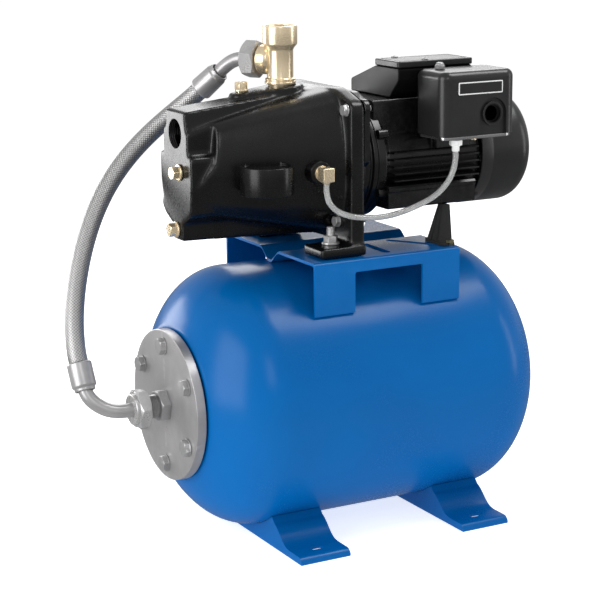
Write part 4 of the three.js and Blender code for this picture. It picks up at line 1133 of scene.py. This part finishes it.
def make_terminal_box():
    section = [(-33, BOX_BOTTOM), (-35, 460), (BOX_FRONT, 476), (BOX_FRONT, BOX_TOP), (-3, BOX_TOP),
        (BOX_BACK, 471), (BOX_BACK, BOX_BOTTOM)]
    room = [(-31, 461), (-31, 462), (BOX_FRONT + 5, 478), (BOX_FRONT + 5, BOX_TOP + 9), (-7, BOX_TOP + 9),
        (-7, BOX_TOP - 5), (BOX_BACK - 4, 467), (BOX_BACK - 4, 461)]
    body = prism(rounded(section, 2.5, steps=4), "X", BOX_LEFT, BOX_RIGHT)
    bevel(body, 1.6, 4, 40)
    cut(body, prism(room, "X", BOX_LEFT + 4, BOX_RIGHT - 4), rod_z(9, 440, 463, 88, 0, 40))
    settle(body, box_plastic, "terminal_box", angle=32)
    lid = lid_layer(0, 4, 5, BOX_TOP + 0.3, LID_TOP)
    bevel(lid, 1.4, 4, 40)
    trench = lid_layer(5, 2, 4, LID_TOP - 0.8, LID_TOP + 2)
    cut(trench, lid_layer(6.6, 2, 4, LID_TOP - 2, LID_TOP + 4))
    cut(lid, trench)
    settle(lid, black_plastic, "terminal_box_lid", body="terminal_lid_body", angle=32)
    for i, (x, y) in enumerate(((82, -45), (66, -9))):
        head = lathe(rounded([(0, 0), (3.6, 0), (3.6, 1.4), (2.2, 2.1), (0, 2.2)], 0.5, closed=False), Z,
            (x, y, LID_TOP - 0.1), 40)
        turn = radians(35 + 50 * i)
        for step in (0, pi / 2):
            u = Vector((cos(turn + step), sin(turn + step), 0))
            v = Vector((-u.y, u.x, 0))
            spot = Vector((x, y, 0))
            cross = [spot + u * a + v * b for a, b in rect(-2.2, -0.4, 2.2, 0.4)]
            cut(head, loft([[p + Z * z for p in cross] for z in (LID_TOP + 0.9, LID_TOP + 4)]))
        settle(head, dark_zinc, body="terminal_lid_body", name=f"lid_screw_{i + 1}")


make_terminal_box()

# ---- pressure switch

SWITCH_LEFT, SWITCH_RIGHT, SWITCH_FRONT, SWITCH_BACK = 62.5, 154.5, -112, -53.5
SWITCH_BOTTOM, SWITCH_TOP, SWITCH_CORNER, SWITCH_BROW, SWITCH_WALL = 421.6, 489, 12, 8, 2
KNOCKOUT_X, KNOCKOUT_Z, KNOCKOUT_R, KNOCKOUT_BORE, ARCH_R = 124.5, 443.4, 12.5, 8, 16.8
STUD = (81, -76)
FITTING = (86, -100)


def oblong(inset, radius):
    """The switch's plan, with round corners, drawn in by a distance."""
    left, right = SWITCH_LEFT + inset, SWITCH_RIGHT - inset
    front, back = SWITCH_FRONT + inset, SWITCH_BACK - inset
    out = []
    for x, y, start in ((right - radius, back - radius, 0), (left + radius, back - radius, 90),
            (left + radius, front + radius, 180), (right - radius, front + radius, 270)):
        out += arc(x, y, radius, radius, start, start + 90, 6)
    return out


def pillow(inset, bottom, top, brow):
    """A shell's outside or inside: upright sides, round corners and a round brow."""
    radius = SWITCH_CORNER - inset
    rings = [[(x, y, bottom) for x, y in oblong(inset, radius)]]
    steps = 8
    for i in range(steps + 1):
        turn = radians(90 * i / steps)
        draw = brow * (1 - cos(turn))
        z = top - brow + brow * sin(turn)
        rings.append([(x, y, z) for x, y in oblong(inset + draw, max(radius - draw, 1.2))])
    return loft(rings, 28)


def archway(radius, floor, start, end):
    outline = [(KNOCKOUT_X - radius, floor), *arc(KNOCKOUT_X, KNOCKOUT_Z, radius, radius, 180, 0, 28),
        (KNOCKOUT_X + radius, floor)]
    return prism(outline, "Y", SWITCH_FRONT + start, SWITCH_FRONT + end)


def knockout_disc(radius, start, end):
    return rod_y(radius, SWITCH_FRONT + start, SWITCH_FRONT + end, KNOCKOUT_X, KNOCKOUT_Z, 72, 0.3)


def make_switch_cover():
    cover = pillow(0, SWITCH_BOTTOM, SWITCH_TOP, SWITCH_BROW)
    cut(cover, pillow(SWITCH_WALL, SWITCH_BOTTOM - 5, SWITCH_TOP - SWITCH_WALL, SWITCH_BROW - SWITCH_WALL))
    join(cover, archway(ARCH_R + 2, SWITCH_BOTTOM, 1, 5))
    cut(cover, archway(ARCH_R, SWITCH_BOTTOM - 1, -1, 3))
    join(cover, knockout_disc(KNOCKOUT_R, 0.2, 4))
    groove = knockout_disc(KNOCKOUT_R - 1.9, -1, 1)
    cut(groove, knockout_disc(KNOCKOUT_R - 2.9, -2, 2))
    cut(cover, groove, knockout_disc(KNOCKOUT_BORE, -2, 9), rod_z(3.4, SWITCH_TOP - 12, SWITCH_TOP + 5, *STUD,
        32))
    bevel(cover, 0.3, 2, 45)
    settle(cover, black_satin, "switch_cover", body="switch_cover_body")

    left, right, bottom, top = 81, 136, 465, 478
    corners = rect(left, bottom, right, top)
    frame_plate = prism(rounded(corners, 1.2), "Y", SWITCH_FRONT - 0.5, SWITCH_FRONT + 0.2)
    bevel(frame_plate, 0.15, 2, 40)
    settle(frame_plate, white_paint, body="switch_cover_body", name="plate_border")
    inner = rect(left + 1.2, bottom + 1.2, right - 1.2, top - 1.2)
    plate = prism(rounded(inner, 0.6), "Y", SWITCH_FRONT - 0.7, SWITCH_FRONT)
    bevel(plate, 0.15, 2, 40)
    settle(plate, black_satin, body="switch_cover_body", name="plate_field")

    nut = hexagon(5.6, (*STUD, SWITCH_TOP + 0.5), (*STUD, SWITCH_TOP + 4.5), turn=11)
    dome = lathe([(0, 4.2), (4.4, 4.2), (4.4, 5.2), (4.1, 6.2), (3.2, 7.1), (1.8, 7.5), (0, 7.6)], Z,
        (*STUD, SWITCH_TOP), 40)
    join(nut, dome)
    cut(nut, rod_z(2.9, SWITCH_TOP - 2, SWITCH_TOP + 5.5, *STUD, 32))
    settle(nut, dark_zinc, "cover_nut", body="switch_cover_body", angle=32)


def make_switch_base():
    plate = SWITCH_BOTTOM - 0.3
    base = prism(oblong(2.6, SWITCH_CORNER - 2.6), "Z", plate - 3.4, plate)
    bevel(base, 0.5, 2, 40)
    join(base, block((SWITCH_LEFT + 8, SWITCH_FRONT + 24, plate - 0.5), (SWITCH_LEFT + 12, SWITCH_BACK - 10,
        plate + 38)), block((103, -74, plate - 0.5), (134, -62, plate + 34)), threads(2.5, (*STUD, plate - 1),
        (*STUD, SWITCH_TOP + 5), 0.9, 0.4, segments=24))
    cut(base, rod_z(4.3, 400, 430, 118, -84, 32), rod_z(4.4, 400, 430, *FITTING, 32))
    settle(base, bright_steel, "switch_base", angle=32)
    bracket = block((88, -60, 403), (130, -55.3, plate - 3.5))
    bevel(bracket, 0.6, 2, 40)
    settle(bracket, black_satin, slot="motor_black", name="switch_bracket")


def make_fittings():
    """The tube's two ends: a white compression nut under the switch and a brass elbow on the casing."""
    base, plate = low("tube_fitting_switch").z, high("tube_fitting_switch").z
    nut = hexagon(7, (*FITTING, 416.8), (*FITTING, 411.4), turn=14)
    stem = lathe(rounded([(0, base), (3.7, base), (4, base + 0.8), (4, base + 5), (5.2, base + 6.2),
        (5.2, 412), (4, 412), (4, plate), (0, plate)], 0.4, closed=False), Z, (*FITTING, 0), 40)
    join(nut, stem)
    cut(nut, rod_z(1.6, 400, 425, *FITTING, 24))
    settle(nut, white_nylon, "tube_fitting_switch", angle=32)
    x, y, z = LINE_X, LINE_Y, SHAFT_Z
    corner = rounded(rect(x - 6.5, y - 6.5, x + 6.5, y + 7), 1.5)
    elbow = prism(corner, "Z", z - 7.5, z + 7)
    bevel(elbow, 1, 3, 40)
    join(elbow, rod_y(4.3, y - 1, -68, x, z, 40), rod_y(8, -82.8, -80.3, x, z, 48),
        hexagon(7.4, (x, y + 6.5, z), (x, -82.4, z), turn=10), rod_z(3.9, 382, z, x, y, 40),
        hexagon(5.8, (x, y, z - 7), (x, y, 383.6)))
    cut(elbow, rod_z(1.6, 380, z + 1, x, y, 24), rod_y(1.6, y, -60, x, z, 24))
    settle(elbow, brass, "tube_fitting_pump", angle=32)


make_switch_cover()
make_switch_base()
make_fittings()

# ---- the rest of the frame, with better materials

KEPT = {"bladder_rubber": rubber, "lamination_steel": laminations, "seal_carbon": carbon,
    "bright_steel": bright_steel, "brass": brass, "plastic_black": black_plastic}


def finish_kept_nodes():
    for part in frame["record"]["subparts"]:
        obj = nodes[part["node"]]
        if not obj.hide_render:
            obj.data.materials.clear()
            obj.data.materials.append(KEPT[part["material_slot"]])


finish_kept_nodes()


def corners(bounds):
    return [[float(value) for value in corner] for corner in bounds]


{"cad": corners(cad_bounds), "visual": corners(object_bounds())}
